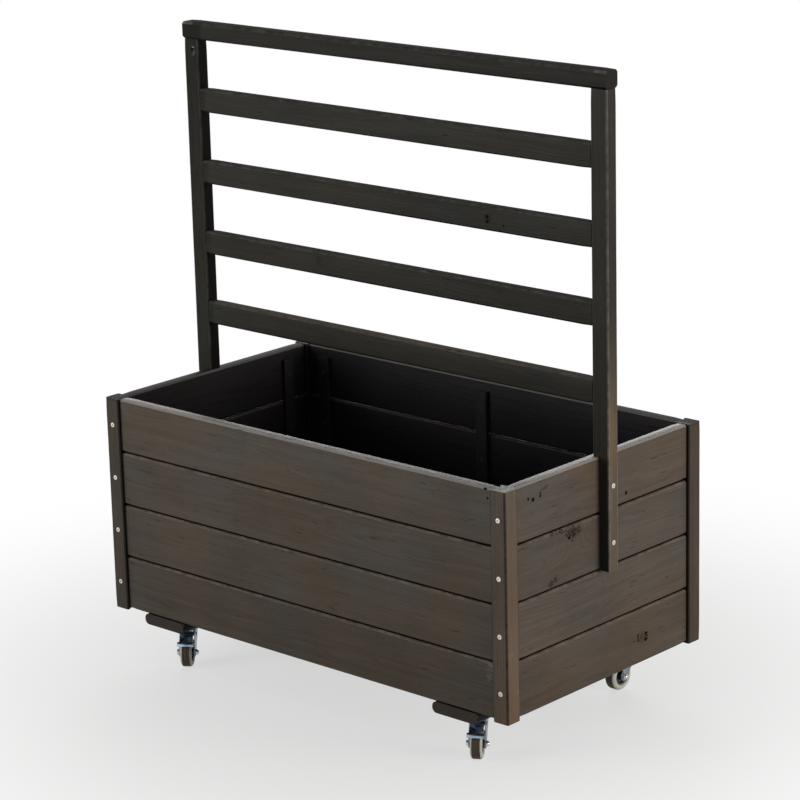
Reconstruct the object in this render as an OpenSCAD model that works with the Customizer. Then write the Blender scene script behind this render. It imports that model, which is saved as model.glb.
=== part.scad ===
// Rolling planter: a boarded softwood box on four swivel castors, with a slatted
// trellis panel standing across its middle. Sizes are in millimetres. The origin is
// on the ground under the middle of the box, X runs along the long side, -Y is the front.

/* [Planter box] */
// Length of the box over its corner posts
box_l = 900; // [640:10:1200]
// Depth of the box over its corner posts
box_d = 500; // [480:10:700]
// Height of one wall board
board_h = 95; // [70:1:120]
// Thickness of the wall boards
board_t = 20; // [16:0.5:23]
// Bevel along the long edges of the wall boards
board_bevel = 3; // [0.5:0.5:5]
// Side of the square corner posts
post_w = 31; // [29:0.5:45]
// Radius along the long edges of the corner posts
post_round = 3; // [1:0.5:6]
// How far a post stands proud of the boards' outer faces
post_proud = 5; // [1:0.5:6]
// How far a post reaches below the lowest board
post_toe = 2; // [0.5:0.5:10]
// Depth of the groove in a post that houses the ends of the long boards
groove_depth = 4; // [2:0.5:8]

/* [Battens] */
// Width of the battens that tie the boards together inside
batten_w = 24; // [16:1:40]
// Thickness of the battens
batten_t = 8; // [5:0.5:15]
// Drop from the rim down to the top of a batten
batten_drop = 18; // [5:1:40]
// Gap between the floor and the foot of a batten
batten_lift = 2; // [0.5:0.5:10]
// From the end of the box to the middle of the outer battens on a long wall
long_batten_inset = 72; // [60:1:150]
// From the face of the box to the middle of the battens on an end wall
end_batten_inset = 79; // [60:1:150]

/* [Floor and bearers] */
// Gap between two floor boards
floor_gap = 14; // [2:0.5:30]
// Thickness of the floor boards
floor_board_t = 20; // [15:0.5:25]
// Gap between the outer floor boards and the inner faces of the posts
floor_side_gap = 8; // [2:0.5:20]
// Gap between a floor board's end and the end wall
floor_end_gap = 1; // [0.5:0.5:5]
// Width of a bearer
bearer_w = 95; // [80:1:120]
// Thickness of a bearer
bearer_t = 20; // [19:0.5:30]
// Radius along the long edges of a bearer
bearer_round = 9; // [2:0.5:9]
// From the end of the box to the middle of a bearer
bearer_inset = 116; // [90:1:200]

/* [Trellis] */
// Width of an upright
upright_w = 33; // [28:0.5:40]
// Depth of an upright from front to back
upright_t = 24; // [20:0.5:40]
// Radius along the long edges of an upright
upright_round = 3; // [1:0.5:6]
// Width of the part of an upright that laps down outside the wall
lap_w = 20; // [14:0.5:24]
// Height from the box's rim to the underside of the top rail
trellis_h = 589; // [400:1:900]
// Height of one slat
slat_h = 41; // [25:1:60]
// Thickness of a slat
slat_t = 20; // [16:0.5:24]
// Bevel along the edges of a slat
slat_bevel = 3; // [0.5:0.5:5]
// Height of the top rail
rail_h = 30; // [24:0.5:45]
// Depth of the top rail from front to back
rail_t = 31; // [28:0.5:45]
// Bevel along the edges of the top rail
rail_bevel = 4; // [0.5:0.5:5]
// Length of the stub tenons on the slats
slat_tenon_l = 8; // [4:0.5:12]
// Length of the stub tenons on the uprights
rail_tenon_l = 18; // [8:0.5:20]
// Thickness of the stub tenons
tenon_t = 10; // [6:0.5:12]
// Shoulder above and below, or beside, a stub tenon
tenon_shoulder = 6; // [4:0.5:8]

/* [Screws] */
// Diameter of the frame screws
screw_d = 4.5; // [3.5:0.1:6]
// Diameter of a frame screw's countersunk head
screw_head_d = 8.5; // [7.5:0.1:11]
// Height of a frame screw's countersunk head
screw_head_h = 3; // [2:0.1:4]
// Length of the frame screws
screw_l = 60; // [45:1:70]
// Length of the screws through the trellis laps
lap_screw_l = 38; // [25:1:38]
// Length of the slanting screws at the top of the uprights
toe_screw_l = 44; // [30:1:46]
// Distance of the slanting screws below the top rail
toe_screw_drop = 20; // [14:1:30]
// Distance of the slanting screws from the middle of their uprights, towards the slats
toe_screw_side = 5; // [0:1:6]
// Depth that the slanting screws are sunk in their pockets
toe_screw_sink = 5; // [4:0.5:8]
// Steepness of the slanting screws, in degrees above level
toe_screw_angle = 60; // [50:1:65]
// Distance of the bearer screws from the faces of the bearer
bearer_screw_inset = 22; // [15:1:35]
// Diameter of the batten screws
thin_screw_d = 3.5; // [2.5:0.1:4]
// Diameter of a batten screw's head
thin_head_d = 6.5; // [5:0.1:8]
// Height of a batten screw's head
thin_head_h = 2; // [1.5:0.1:3]
// Length of the batten screws
batten_screw_l = 24; // [15:1:26]
// Length of the floor screws
floor_screw_l = 34; // [25:1:38]
// Distance of a floor screw from the edge of its board
floor_screw_inset = 18; // [12:1:30]
// Diameter of the castor screws
castor_screw_d = 4.5; // [3:0.1:5]
// Diameter of a castor screw's pan head
castor_head_d = 8.5; // [6:0.1:9]
// Height of a castor screw's pan head
castor_head_h = 2.3; // [1.5:0.1:3]
// Length of the castor screws under their heads
castor_screw_l = 16; // [10:1:18]

/* [Castor plates and swivels] */
// From the face of the box to a castor's swivel axis
castor_inset = 58; // [50:1:100]
// How far the castors sit along X from the middle of their bearer
castor_shift = 6; // [-8:1:8]
// Side of the square castor plate
plate_w = 60; // [56:1:75]
// Thickness of the castor plate
plate_t = 2.5; // [2:0.5:4]
// Corner radius of the castor plate
plate_round = 6; // [2:0.5:8]
// Spacing of the screw holes in the castor plate
plate_hole_pitch = 44; // [42:1:46]
// Diameter of the kingpin
kingpin_d = 8; // [6:0.5:9]
// Diameter of the kingpin's riveted lower head
kingpin_head_d = 12; // [11:0.5:14]
// Height of the kingpin's lower head
kingpin_head_h = 2.3; // [1.5:0.1:3]
// Diameter of the circle that the bearing balls run on
race_d = 26; // [24:0.5:28]
// Width of the upper race ring
race_w = 6; // [4:0.5:6]
// Thickness of the upper race ring
race_t = 2.5; // [1.5:0.5:4]
// Diameter of a bearing ball
ball_d = 3.4; // [2.5:0.1:4]

/* [Castor forks] */
// Thickness of the fork's sheet steel
sheet_t = 2; // [1.5:0.1:2.5]
// Clear width between the fork's legs
fork_gap = 24; // [23:0.5:30]
// Outer radius of the bend between the fork's crown and its legs
fork_bend = 4; // [3:0.5:6]
// Diameter of the fork's dished head
dish_d = 38; // [37:0.5:40]
// Height of the upturned rim on the fork's dished head
dish_rim_h = 4.5; // [2.5:0.1:4.5]
// How far the crown reaches in front of the swivel axis
crown_front = 13; // [10:0.5:16]
// How far the crown reaches behind the swivel axis
crown_rear = 17; // [14:0.5:20]
// Radius of the round end of a fork leg
leg_round = 8; // [6:0.5:10]
// Space between the tyre's top and the underside of the fork's crown
crown_space = 11.5; // [11.5:0.5:16]

/* [Castor wheels] */
// Diameter over the tyre
wheel_d = 50; // [48:1:56]
// Width of the tyre
wheel_w = 20; // [14:0.5:21]
// Thickness of the tyre from its tread to the hub
tyre_t = 9; // [7:0.5:11]
// Radius of the tyre's shoulders
tyre_shoulder = 5; // [2:0.5:6]
// Distance from the swivel axis back to the wheel's axle
trail = 25; // [24:0.5:28]
// Diameter of the axle bolt
axle_d = 6; // [5:0.5:8]
// Width across the corners of the axle bolt's head
axle_head_d = 11; // [10:0.5:13]
// Height of the axle bolt's head
axle_head_h = 4; // [3:0.5:5]
// Height of the axle's domed nut
axle_nut_h = 6.5; // [5:0.5:8]
// Diameter of the hub's boss
boss_d = 13; // [12:0.5:16]
// Thickness of the hub's web
web_t = 6; // [4:0.5:8]
// Thickness of the hub's rim under the tyre
rim_t = 3; // [2:0.5:4]
// Width of the hub's rim under the tyre
rim_w = 16; // [10:0.5:18]

/* [Toe brakes] */
// Diameter of the brake lever's pivot pin
pivot_d = 4; // [3:0.1:4.5]
// Distance of the lever's pivot behind the swivel axis
pivot_back = 8; // [7:0.5:9]
// Distance of the lever's pivot below the fork's crown
pivot_drop = 8; // [8:0.5:9]
// Radius of the barrel rolled round the pivot pin
barrel_r = 4; // [3.5:0.1:4]
// Space between the lever's edges and the fork's legs
lever_side_gap = 0.5; // [0.4:0.1:2]
// Width of the toe pad
pad_w = 29; // [26:0.5:34]
// Height of the riveted heads on the pivot pin
pivot_head_h = 1; // [0.5:0.1:2]
// Width of the shoe that bears on the tyre
shoe_w = 14; // [8:0.5:18]
// Length of the shoe along the tyre
shoe_l = 10; // [6:0.5:14]
// Height of the step in the lever
lever_step = 3; // [2:0.5:4]
// Distance of the step behind the axle
step_back = 9; // [7:0.5:11]
// Distance of the fold before the toe pad behind the axle
pad_start = 17; // [15:0.5:20]
// Depth of the toe pad from its fold to its lip
pad_depth = 6; // [5:0.5:12]
// Fall of the toe pad from its fold to its lip
pad_fall = 2.5; // [1:0.5:4]
// Height of the lip on the toe pad
lip_h = 3; // [2:0.5:6]
// Lean of the lip on the toe pad
lip_lean = 1; // [0:0.5:2]

/* [Resting directions of the castors] */
// Direction that the front left wheel trails in
heading_front_left = -53; // [-180:1:180]
// Direction that the front right wheel trails in
heading_front_right = -57; // [-180:1:180]
// Direction that the rear left wheel trails in
heading_rear_left = -112; // [-180:1:180]
// Direction that the rear right wheel trails in
heading_rear_right = -90; // [-180:1:180]

/* [Fits] */
// Gap round a tenon, or round a board's end in its groove
wood_fit = 0.2; // [0.05:0.05:0.5]
// Radial gap between a screw and its hole
screw_fit = 0.05; // [0.02:0.01:0.2]
// Radial running gap of pins, axles and balls
pin_fit = 0.05; // [0.02:0.01:0.1]
// Gap between metal faces that turn past each other
turn_gap = 0.3; // [0.2:0.05:0.5]

/* [Hidden] */
$fn = 48;
COURSES = 4;
FLOOR_BOARDS = 4;
SLATS = 4;
LAP_COURSES = 2;
BALLS = 12;
BATTENS_LONG = [-1, 0, 1];
SIDES = [-1, 1];
PAST = 1;  // how far a cut runs past the surface that it opens
LONG = 200;  // longer than anything that is trimmed to an outline

// Castors in the order front left, front right, rear left, rear right
CASTOR_SIDE = [[-1, -1], [1, -1], [-1, 1], [1, 1]];
CASTOR_HEADING = [heading_front_left, heading_front_right, heading_rear_left, heading_rear_right];

// Heights of the castor, from the ground up
wheel_r = wheel_d / 2;
crown_z = wheel_d + crown_space;
deck_z = crown_z + sheet_t;
race_z = deck_z + ball_d + 2 * pin_fit;
plate_z = race_z + race_t;
castor_h = plate_z + plate_t;
fork_w = fork_gap + 2 * sheet_t;
pivot_z = crown_z - pivot_drop;
hub_r = wheel_r - tyre_t;

// Heights of the box
bearer_z = castor_h;
wall_z = bearer_z + bearer_t;
wall_h = COURSES * board_h;
rim_z = wall_z + wall_h;
post_z = wall_z - post_toe;
post_h = wall_h + post_toe;
floor_z = wall_z;
batten_z = floor_z + floor_board_t + batten_lift;
batten_h = rim_z - batten_drop - batten_z;

// Places of the walls
long_wall_y = box_d / 2 - post_proud - board_t / 2;
end_wall_x = box_l / 2 - post_proud - board_t / 2;
post_x = (box_l - post_w) / 2;
post_y = (box_d - post_w) / 2;
long_board_l = box_l - 2 * post_w + 2 * (groove_depth - wood_fit);
end_board_l = box_d - 2 * post_w;
wall_out_x = end_wall_x + board_t / 2;
wall_in_x = end_wall_x - board_t / 2;
wall_in_y = long_wall_y - board_t / 2;
batten_long_x = box_l / 2 - long_batten_inset;
batten_end_y = box_d / 2 - end_batten_inset;
bearer_x = box_l / 2 - bearer_inset;
bearer_l = 2 * (box_d / 2 - post_proud);
floor_l = 2 * (wall_in_x - floor_end_gap);
floor_span = box_d - 2 * post_w - 2 * floor_side_gap;
floor_pitch = (floor_span + floor_gap) / FLOOR_BOARDS;
floor_board_w = floor_pitch - floor_gap;
castor_y = box_d / 2 - castor_inset;

// Places of the trellis
upright_out_x = wall_out_x + lap_w;
upright_in_x = upright_out_x - upright_w;
upright_x = upright_out_x - upright_w / 2;
rail_z = rim_z + trellis_h;
lap_z = rim_z - LAP_COURSES * board_h;
window_h = (trellis_h - SLATS * slat_h) / (SLATS + 1);
slat_y = (slat_t - upright_t) / 2;
slat_tenon_h = slat_h - 2 * tenon_shoulder;
rail_tenon_w = upright_w - 2 * tenon_shoulder;

WOOD = "#3b3733";
WOOD_SIDE = "#4a433d";
TRELLIS = "#2f2e2d";
ZINC = "#c6ccd2";
STEEL = "#b3b8bd";
RUBBER = "#a9a59c";
HUB = "#1c1c1e";

// ---- Helpers ----

// Height of the middle of a wall course, counted from 1 at the bottom
function course_z(i) = wall_z + (i - 0.5) * board_h;

// Lower edge of a slat, counted from 1 at the bottom
function slat_z(i) = rim_z + i * window_h + (i - 1) * slat_h;

// Middle of a floor board, counted from 1 at the front
function floor_y(i) = (i - (FLOOR_BOARDS + 1) / 2) * floor_pitch;

// Point where the line from p touches the circle of radius r round c
function tangent_point(p, c, r, side) =
    let (reach = norm(p - c), way = atan2(p.y - c.y, p.x - c.x) + side * acos(r / reach))
    c + r * [cos(way), sin(way)];

// Section of a board lying along X: depth w along Y, height h, edges bevelled by c
module bar_along_x(l, w, h, c)
    rotate([90, 0, 90]) linear_extrude(l, center = true)
        polygon([
            [-w / 2 + c, 0], [w / 2 - c, 0], [w / 2, c], [w / 2, h - c],
            [w / 2 - c, h], [-w / 2 + c, h], [-w / 2, h - c], [-w / 2, c]
        ]);

// Rectangle with round corners, centred
module round_rect(w, d, r) {
    square([w - 2 * r, d], center = true);
    square([w, d - 2 * r], center = true);
    for (x = SIDES, y = SIDES)
        translate([x * (w / 2 - r), y * (d / 2 - r)]) circle(r);
}

// Countersunk screw hanging down from z = 0, grown by gap for the hole that it needs
module csk_screw(d, head_d, head_h, l, gap = 0)
    rotate_extrude()
        polygon([
            [0, gap > 0 ? PAST : 0], [head_d / 2 + gap, gap > 0 ? PAST : 0],
            [head_d / 2 + gap, -gap], [d / 2 + gap, -head_h - gap],
            [d / 2 + gap, d - l - gap], [0, -l - gap]
        ]);

module frame_screw(gap = 0) csk_screw(screw_d, screw_head_d, screw_head_h, screw_l, gap);

module lap_screw(gap = 0) csk_screw(screw_d, screw_head_d, screw_head_h, lap_screw_l, gap);

module toe_screw(gap = 0) csk_screw(screw_d, screw_head_d, screw_head_h, toe_screw_l, gap);

module batten_screw(gap = 0) csk_screw(thin_screw_d, thin_head_d, thin_head_h, batten_screw_l, gap);

module floor_screw(gap = 0) csk_screw(screw_d, screw_head_d, screw_head_h, floor_screw_l, gap);

// Screws through a post into the end grain of an end wall, one for each course in the list
module post_screws_at(sx, sy, courses, gap = 0)
    for (i = courses)
        translate([sx * end_wall_x, sy * box_d / 2, course_z(i)])
            rotate([-sy * 90, 0, 0]) frame_screw(gap);

// Screws up through the end of a bearer into a long wall
module bearer_screws_at(sx, sy, gap = 0)
    for (k = SIDES)
        translate([sx * bearer_x + k * (bearer_w / 2 - bearer_screw_inset), sy * long_wall_y, bearer_z])
            rotate([180, 0, 0]) frame_screw(gap);

// Screws through the lap of an upright into the end wall
module lap_screws_at(sx, courses, gap = 0)
    for (i = courses)
        translate([sx * upright_out_x, 0, course_z(i)]) rotate([0, sx * 90, 0]) lap_screw(gap);

// Slanting screw, sunk in a pocket, up through an upright into the top rail. The left one
// is driven from the front and the right one from the rear.
module toe_screw_at(sx, gap = 0)
    translate([sx * (upright_x - toe_screw_side), sx * upright_t / 2, rail_z - toe_screw_drop])
        rotate([-sx * (90 + toe_screw_angle), 0, 0]) {
            translate([0, 0, -toe_screw_sink]) toe_screw(gap);
            if (gap > 0) translate([0, 0, -toe_screw_sink])
                cylinder(d = screw_head_d + 2 * gap, h = toe_screw_sink + screw_head_d);
        }

// Screws through the battens of a long wall, one in each course of the list
module long_batten_screws(sy, courses, gap = 0)
    for (k = BATTENS_LONG, i = courses)
        translate([k * batten_long_x, sy * (wall_in_y - batten_t), course_z(i)])
            rotate([sy * 90, 0, 0]) batten_screw(gap);

// Screws through the battens of an end wall, one in each course of the list
module end_batten_screws(sx, courses, gap = 0)
    for (k = SIDES, i = courses)
        translate([sx * (wall_in_x - batten_t), k * batten_end_y, course_z(i)])
            rotate([0, -sx * 90, 0]) batten_screw(gap);

// Screws down through one floor board into both bearers
module floor_screws_at(i, gap = 0)
    for (sx = SIDES, k = SIDES)
        translate([
            sx * bearer_x, floor_y(i) + k * (floor_board_w / 2 - floor_screw_inset),
            floor_z + floor_board_t
        ]) floor_screw(gap);

// ---- Box ----

module post(sx, sy)
    color(WOOD_SIDE) difference() {
        translate([sx * post_x, sy * post_y, post_z])
            linear_extrude(post_h) round_rect(post_w, post_w, post_round);
        // groove for the ends of the long boards
        translate([
            sx * (post_x - post_w / 2 + (groove_depth - PAST) / 2), sy * long_wall_y,
            post_z + post_h / 2
        ]) cube([groove_depth + PAST, board_t + 2 * wood_fit, post_h + 2 * PAST], center = true);
        post_screws_at(sx, sy, [1:COURSES], screw_fit);
    }

module long_board(sy, i)
    color(WOOD) difference() {
        translate([0, sy * long_wall_y, wall_z + (i - 1) * board_h])
            bar_along_x(long_board_l, board_t, board_h, board_bevel);
        long_batten_screws(sy, [i], screw_fit);
        if (i == 1) for (sx = SIDES) bearer_screws_at(sx, sy, screw_fit);
    }

module end_board(sx, i)
    color(WOOD_SIDE) difference() {
        translate([sx * end_wall_x, 0, wall_z + (i - 1) * board_h])
            rotate([0, 0, 90]) bar_along_x(end_board_l, board_t, board_h, board_bevel);
        for (sy = SIDES) post_screws_at(sx, sy, [i], screw_fit);
        end_batten_screws(sx, [i], screw_fit);
        if (i > COURSES - LAP_COURSES) lap_screws_at(sx, [i], screw_fit);
    }

module long_wall_battens()
    color(WOOD) for (sy = SIDES, k = BATTENS_LONG)
        difference() {
            translate([k * batten_long_x, sy * (wall_in_y - batten_t / 2), batten_z + batten_h / 2])
                cube([batten_w, batten_t, batten_h], center = true);
            long_batten_screws(sy, [1:COURSES], screw_fit);
        }

module end_wall_battens()
    color(WOOD) for (sx = SIDES, k = SIDES)
        difference() {
            translate([sx * (wall_in_x - batten_t / 2), k * batten_end_y, batten_z + batten_h / 2])
                cube([batten_t, batten_w, batten_h], center = true);
            end_batten_screws(sx, [1:COURSES], screw_fit);
        }

module floor_board(i)
    color(WOOD) difference() {
        translate([0, floor_y(i), floor_z])
            bar_along_x(floor_l, floor_board_w, floor_board_t, board_bevel);
        floor_screws_at(i, screw_fit);
    }

module bearer(sx)
    color(WOOD_SIDE) difference() {
        translate([sx * bearer_x, 0, bearer_z + bearer_t / 2])
            rotate([90, 0, 0]) linear_extrude(bearer_l, center = true)
                round_rect(bearer_w, bearer_t, bearer_round);
        for (sy = SIDES) bearer_screws_at(sx, sy, screw_fit);
        for (i = [1:FLOOR_BOARDS]) floor_screws_at(i, screw_fit);
        for (c = [0:3]) if (CASTOR_SIDE[c].x == sx) castor_screws_at(c, screw_fit);
    }

// ---- Trellis ----

// Stub tenons on both ends of a slat, or their mortises when grown by gap
module slat_tenons(i, gap = 0)
    translate([0, slat_y, slat_z(i) + slat_h / 2])
        cube([
            2 * (upright_in_x + slat_tenon_l + gap), tenon_t + 2 * gap, slat_tenon_h + 2 * gap
        ], center = true);

// Stub tenon on the top of an upright, or its mortise when grown by gap
module rail_tenon(sx, gap = 0)
    translate([sx * upright_x, 0, rail_z + (rail_tenon_l + gap - PAST) / 2])
        cube([rail_tenon_w + 2 * gap, tenon_t + 2 * gap, rail_tenon_l + gap + PAST], center = true);

module upright(sx)
    color(TRELLIS) difference() {
        union() {
            translate([sx * upright_x, 0, lap_z])
                linear_extrude(rail_z - lap_z) round_rect(upright_w, upright_t, upright_round);
            rail_tenon(sx);
        }
        // notch that seats on the rim of the end wall
        translate([sx * (wall_out_x - LONG / 2), 0, rim_z - LONG])
            cube([LONG, LONG, 2 * LONG], center = true);
        for (i = [1:SLATS]) slat_tenons(i, wood_fit);
        lap_screws_at(sx, [COURSES - LAP_COURSES + 1:COURSES], screw_fit);
        toe_screw_at(sx, screw_fit);
    }

module slat(i)
    color(TRELLIS) {
        translate([0, slat_y, slat_z(i)])
            bar_along_x(2 * upright_in_x, slat_t, slat_h, slat_bevel);
        slat_tenons(i);
    }

module top_rail()
    color(TRELLIS) difference() {
        translate([0, 0, rail_z]) bar_along_x(2 * upright_out_x, rail_t, rail_h, rail_bevel);
        for (sx = SIDES) {
            rail_tenon(sx, wood_fit);
            toe_screw_at(sx, screw_fit);
        }
    }

// ---- Screws ----

module frame_screws()
    color(ZINC) for (sx = SIDES, sy = SIDES) {
        post_screws_at(sx, sy, [1:COURSES]);
        bearer_screws_at(sx, sy);
    }

module trellis_screws()
    color(ZINC) for (sx = SIDES) {
        lap_screws_at(sx, [COURSES - LAP_COURSES + 1:COURSES]);
        toe_screw_at(sx);
    }

module inner_screws()
    color(ZINC) {
        for (s = SIDES) {
            long_batten_screws(s, [1:COURSES]);
            end_batten_screws(s, [1:COURSES]);
        }
        for (i = [1:FLOOR_BOARDS]) floor_screws_at(i);
    }

// ---- Castors ----
// Each castor is drawn round its swivel axis with the wheel trailing along +X.

module at_castor(c)
    translate([
        CASTOR_SIDE[c].x * bearer_x + castor_shift, CASTOR_SIDE[c].y * castor_y, 0
    ]) children();

module along_heading(c) at_castor(c) rotate(CASTOR_HEADING[c]) children();

// Cylinder along Y through the point at x, z
module cross_pin(x, z, r, l)
    translate([x, 0, z]) rotate([90, 0, 0]) cylinder(r = r, h = l, center = true);

module castor_screws_at(c, gap = 0)
    at_castor(c) for (x = SIDES, y = SIDES)
        translate([x * plate_hole_pitch / 2, y * plate_hole_pitch / 2, plate_z]) {
            foot = gap > 0 ? PAST : 0;
            translate([0, 0, -foot])
                cylinder(d = castor_screw_d + 2 * gap, h = castor_screw_l + gap + foot);
            if (gap == 0) pan_head();
        }

module pan_head()
    rotate_extrude()
        polygon([
            [0, 0], [castor_head_d / 2, 0], [castor_head_d / 2, -castor_head_h / 2],
            [castor_head_d / 2 - castor_head_h / 2, -castor_head_h], [0, -castor_head_h]
        ]);

module castor_screws() color(ZINC) for (c = [0:3]) castor_screws_at(c);

module castor_plates()
    color(ZINC) for (c = [0:3])
        difference() {
            at_castor(c) {
                translate([0, 0, plate_z])
                    linear_extrude(plate_t) round_rect(plate_w, plate_w, plate_round);
                translate([0, 0, race_z]) rotate_extrude() translate([(race_d - race_w) / 2, 0])
                    square([race_w, race_t]);
            }
            castor_screws_at(c, screw_fit);
            at_castor(c) translate([0, 0, race_z - PAST])
                cylinder(d = kingpin_d + 2 * pin_fit, h = castor_h - race_z + 2 * PAST);
        }

module kingpins()
    color(STEEL) for (c = [0:3])
        at_castor(c) {
            translate([0, 0, crown_z - turn_gap - kingpin_head_h])
                cylinder(d = kingpin_head_d, h = kingpin_head_h);
            translate([0, 0, crown_z - turn_gap - kingpin_head_h])
                cylinder(d = kingpin_d, h = castor_h - crown_z + turn_gap + kingpin_head_h);
        }

module castor_balls()
    color(STEEL) for (c = [0:3], k = [0:BALLS - 1])
        at_castor(c) rotate(k * 360 / BALLS)
            translate([race_d / 2, 0, (deck_z + race_z) / 2]) sphere(d = ball_d, $fn = 24);

// Section of the bent sheet: an inverted U, w wide over its legs
module fork_arch(w, top, bend) {
    translate([-w / 2, 0]) square([w, top - bend]);
    translate([-w / 2 + bend, top - 2 * bend]) square([w - 2 * bend, 2 * bend]);
    for (s = SIDES) translate([s * (w / 2 - bend), top - bend]) circle(bend);
}

// Side outline of the fork: a crown that tapers down to a round end at the axle
module fork_outline() {
    axle_at = [trail, wheel_r];
    front = [-crown_front, deck_z];
    rear = [crown_rear, deck_z];
    polygon([
        front, rear, tangent_point(rear, axle_at, leg_round, -1), axle_at,
        tangent_point(front, axle_at, leg_round, 1)
    ]);
    translate(axle_at) circle(leg_round);
}

// Dish that carries the balls, with an upturned rim
module fork_dish()
    rotate_extrude() polygon([
        [kingpin_head_d / 2, crown_z], [dish_d / 2 - sheet_t, crown_z],
        [dish_d / 2, crown_z + sheet_t], [dish_d / 2, deck_z + dish_rim_h],
        [dish_d / 2 - sheet_t, deck_z + dish_rim_h], [dish_d / 2 - sheet_t, deck_z],
        [kingpin_head_d / 2, deck_z]
    ]);

module fork(c)
    color(ZINC) along_heading(c) difference() {
        union() {
            intersection() {
                rotate([90, 0, 90]) linear_extrude(LONG, center = true) difference() {
                    fork_arch(fork_w, deck_z, fork_bend);
                    fork_arch(fork_gap, crown_z, fork_bend - sheet_t);
                }
                rotate([90, 0, 0]) linear_extrude(LONG, center = true) fork_outline();
            }
            fork_dish();
        }
        translate([0, 0, crown_z - PAST])
            cylinder(d = kingpin_d + 2 * pin_fit, h = sheet_t + 2 * PAST);
        cross_pin(trail, wheel_r, axle_d / 2 + pin_fit, fork_w + 2 * PAST);
        if (CASTOR_SIDE[c].y < 0)
            cross_pin(pivot_back, pivot_z, pivot_d / 2 + pin_fit, fork_w + 2 * PAST);
    }

// Bolt with a hexagon head on one side and a domed nut on the other
module axle(c)
    color(ZINC) along_heading(c) translate([trail, 0, wheel_r]) rotate([-90, 0, 0]) {
        cylinder(d = axle_d, h = fork_w + axle_nut_h, center = true);
        translate([0, 0, -fork_w / 2 - axle_head_h])
            cylinder(d = axle_head_d, h = axle_head_h, $fn = 6);
        translate([0, 0, fork_w / 2]) {
            cylinder(d = axle_head_d, h = axle_nut_h / 2, $fn = 6);
            intersection() {
                translate([0, 0, axle_nut_h - axle_head_d / 2]) sphere(d = axle_head_d);
                cylinder(d = axle_head_d * cos(30), h = axle_nut_h);
            }
        }
    }

// Moulded hub: a boss on the axle, a web, and a rim under the tyre
module wheel(c)
    color(HUB) along_heading(c) translate([trail, 0, wheel_r]) rotate([90, 0, 0])
        rotate_extrude() {
            bore_r = axle_d / 2 + pin_fit;
            boss_w = fork_gap - 2 * turn_gap;
            translate([bore_r, -boss_w / 2]) square([boss_d / 2 - bore_r, boss_w]);
            translate([bore_r, -web_t / 2]) square([hub_r - bore_r, web_t]);
            translate([hub_r - rim_t, -rim_w / 2]) square([rim_t, rim_w]);
        }

// Rubber tyre with round shoulders
module tyre(c)
    color(RUBBER) along_heading(c) translate([trail, 0, wheel_r]) rotate([90, 0, 0])
        rotate_extrude() {
            inner_r = hub_r + pin_fit;
            tread_w = wheel_w - 2 * tyre_shoulder;
            difference() {
                union() {
                    square([2 * (wheel_r - tyre_shoulder), wheel_w], center = true);
                    square([wheel_d, tread_w], center = true);
                    for (s = SIDES)
                        translate([wheel_r - tyre_shoulder, s * tread_w / 2]) circle(tyre_shoulder);
                }
                translate([inner_r - LONG, -LONG / 2]) square([LONG, LONG]);
            }
        }

// Points at distance t to the left of a line of points, mitred at its bends
function beside(line, t) = [
    for (i = [0:len(line) - 1])
        let (
            last = len(line) - 1,
            before = i == 0 ? line[1] - line[0] : line[i] - line[i - 1],
            after = i == last ? before : line[i + 1] - line[i],
            n1 = [-before.y, before.x] / norm(before),
            n2 = [-after.y, after.x] / norm(after)
        ) line[i] + t * (n1 + n2) / (1 + n1 * n2)
];

// Edge view of bent sheet steel along the line, from its point number a to number b
module bent_strip(line, a, b) {
    above = beside(line, sheet_t / 2);
    below = beside(line, -sheet_t / 2);
    polygon([for (i = [a:b]) above[i], for (i = [b:-1:a]) below[i]]);
}

// Lays a side view of the lever across the fork, w wide
module across_fork(w) rotate([90, 0, 0]) linear_extrude(w, center = true) children();

// Pressed lever: a barrel on its pivot, a strip over the tyre, a shoe and a toe pad
module brake_pedal(c)
    color(ZINC) along_heading(c) {
        lever_w = fork_gap - 2 * lever_side_gap;
        strip_z = pivot_z + barrel_r - sheet_t;
        pad_fold = [trail + pad_start, wheel_d - sheet_t / 2];
        lip_fold = pad_fold + [pad_depth, -pad_fall];
        lever_line = [
            [pivot_back, strip_z], [trail + step_back - lever_step, strip_z],
            [trail + step_back, strip_z - lever_step], pad_fold, lip_fold,
            lip_fold + [lip_lean, -lip_h]
        ];
        across_fork(lever_w) {
            translate([pivot_back, pivot_z]) circle(barrel_r);
            bent_strip(lever_line, 0, 3);
        }
        across_fork(shoe_w) difference() {
            translate([trail - shoe_l / 2, wheel_r]) square([shoe_l, strip_z - wheel_r]);
            translate([trail, wheel_r]) circle(wheel_r + turn_gap);
        }
        across_fork(pad_w) bent_strip(lever_line, 3, 5);
        cross_pin(pivot_back, pivot_z, pivot_d / 2, fork_w + 2 * turn_gap + pivot_head_h);
        for (s = SIDES)
            translate([0, s * (fork_w / 2 + turn_gap + pivot_head_h / 2), 0])
                cross_pin(pivot_back, pivot_z, pivot_d / 2 + sheet_t / 2, pivot_head_h);
    }

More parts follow.
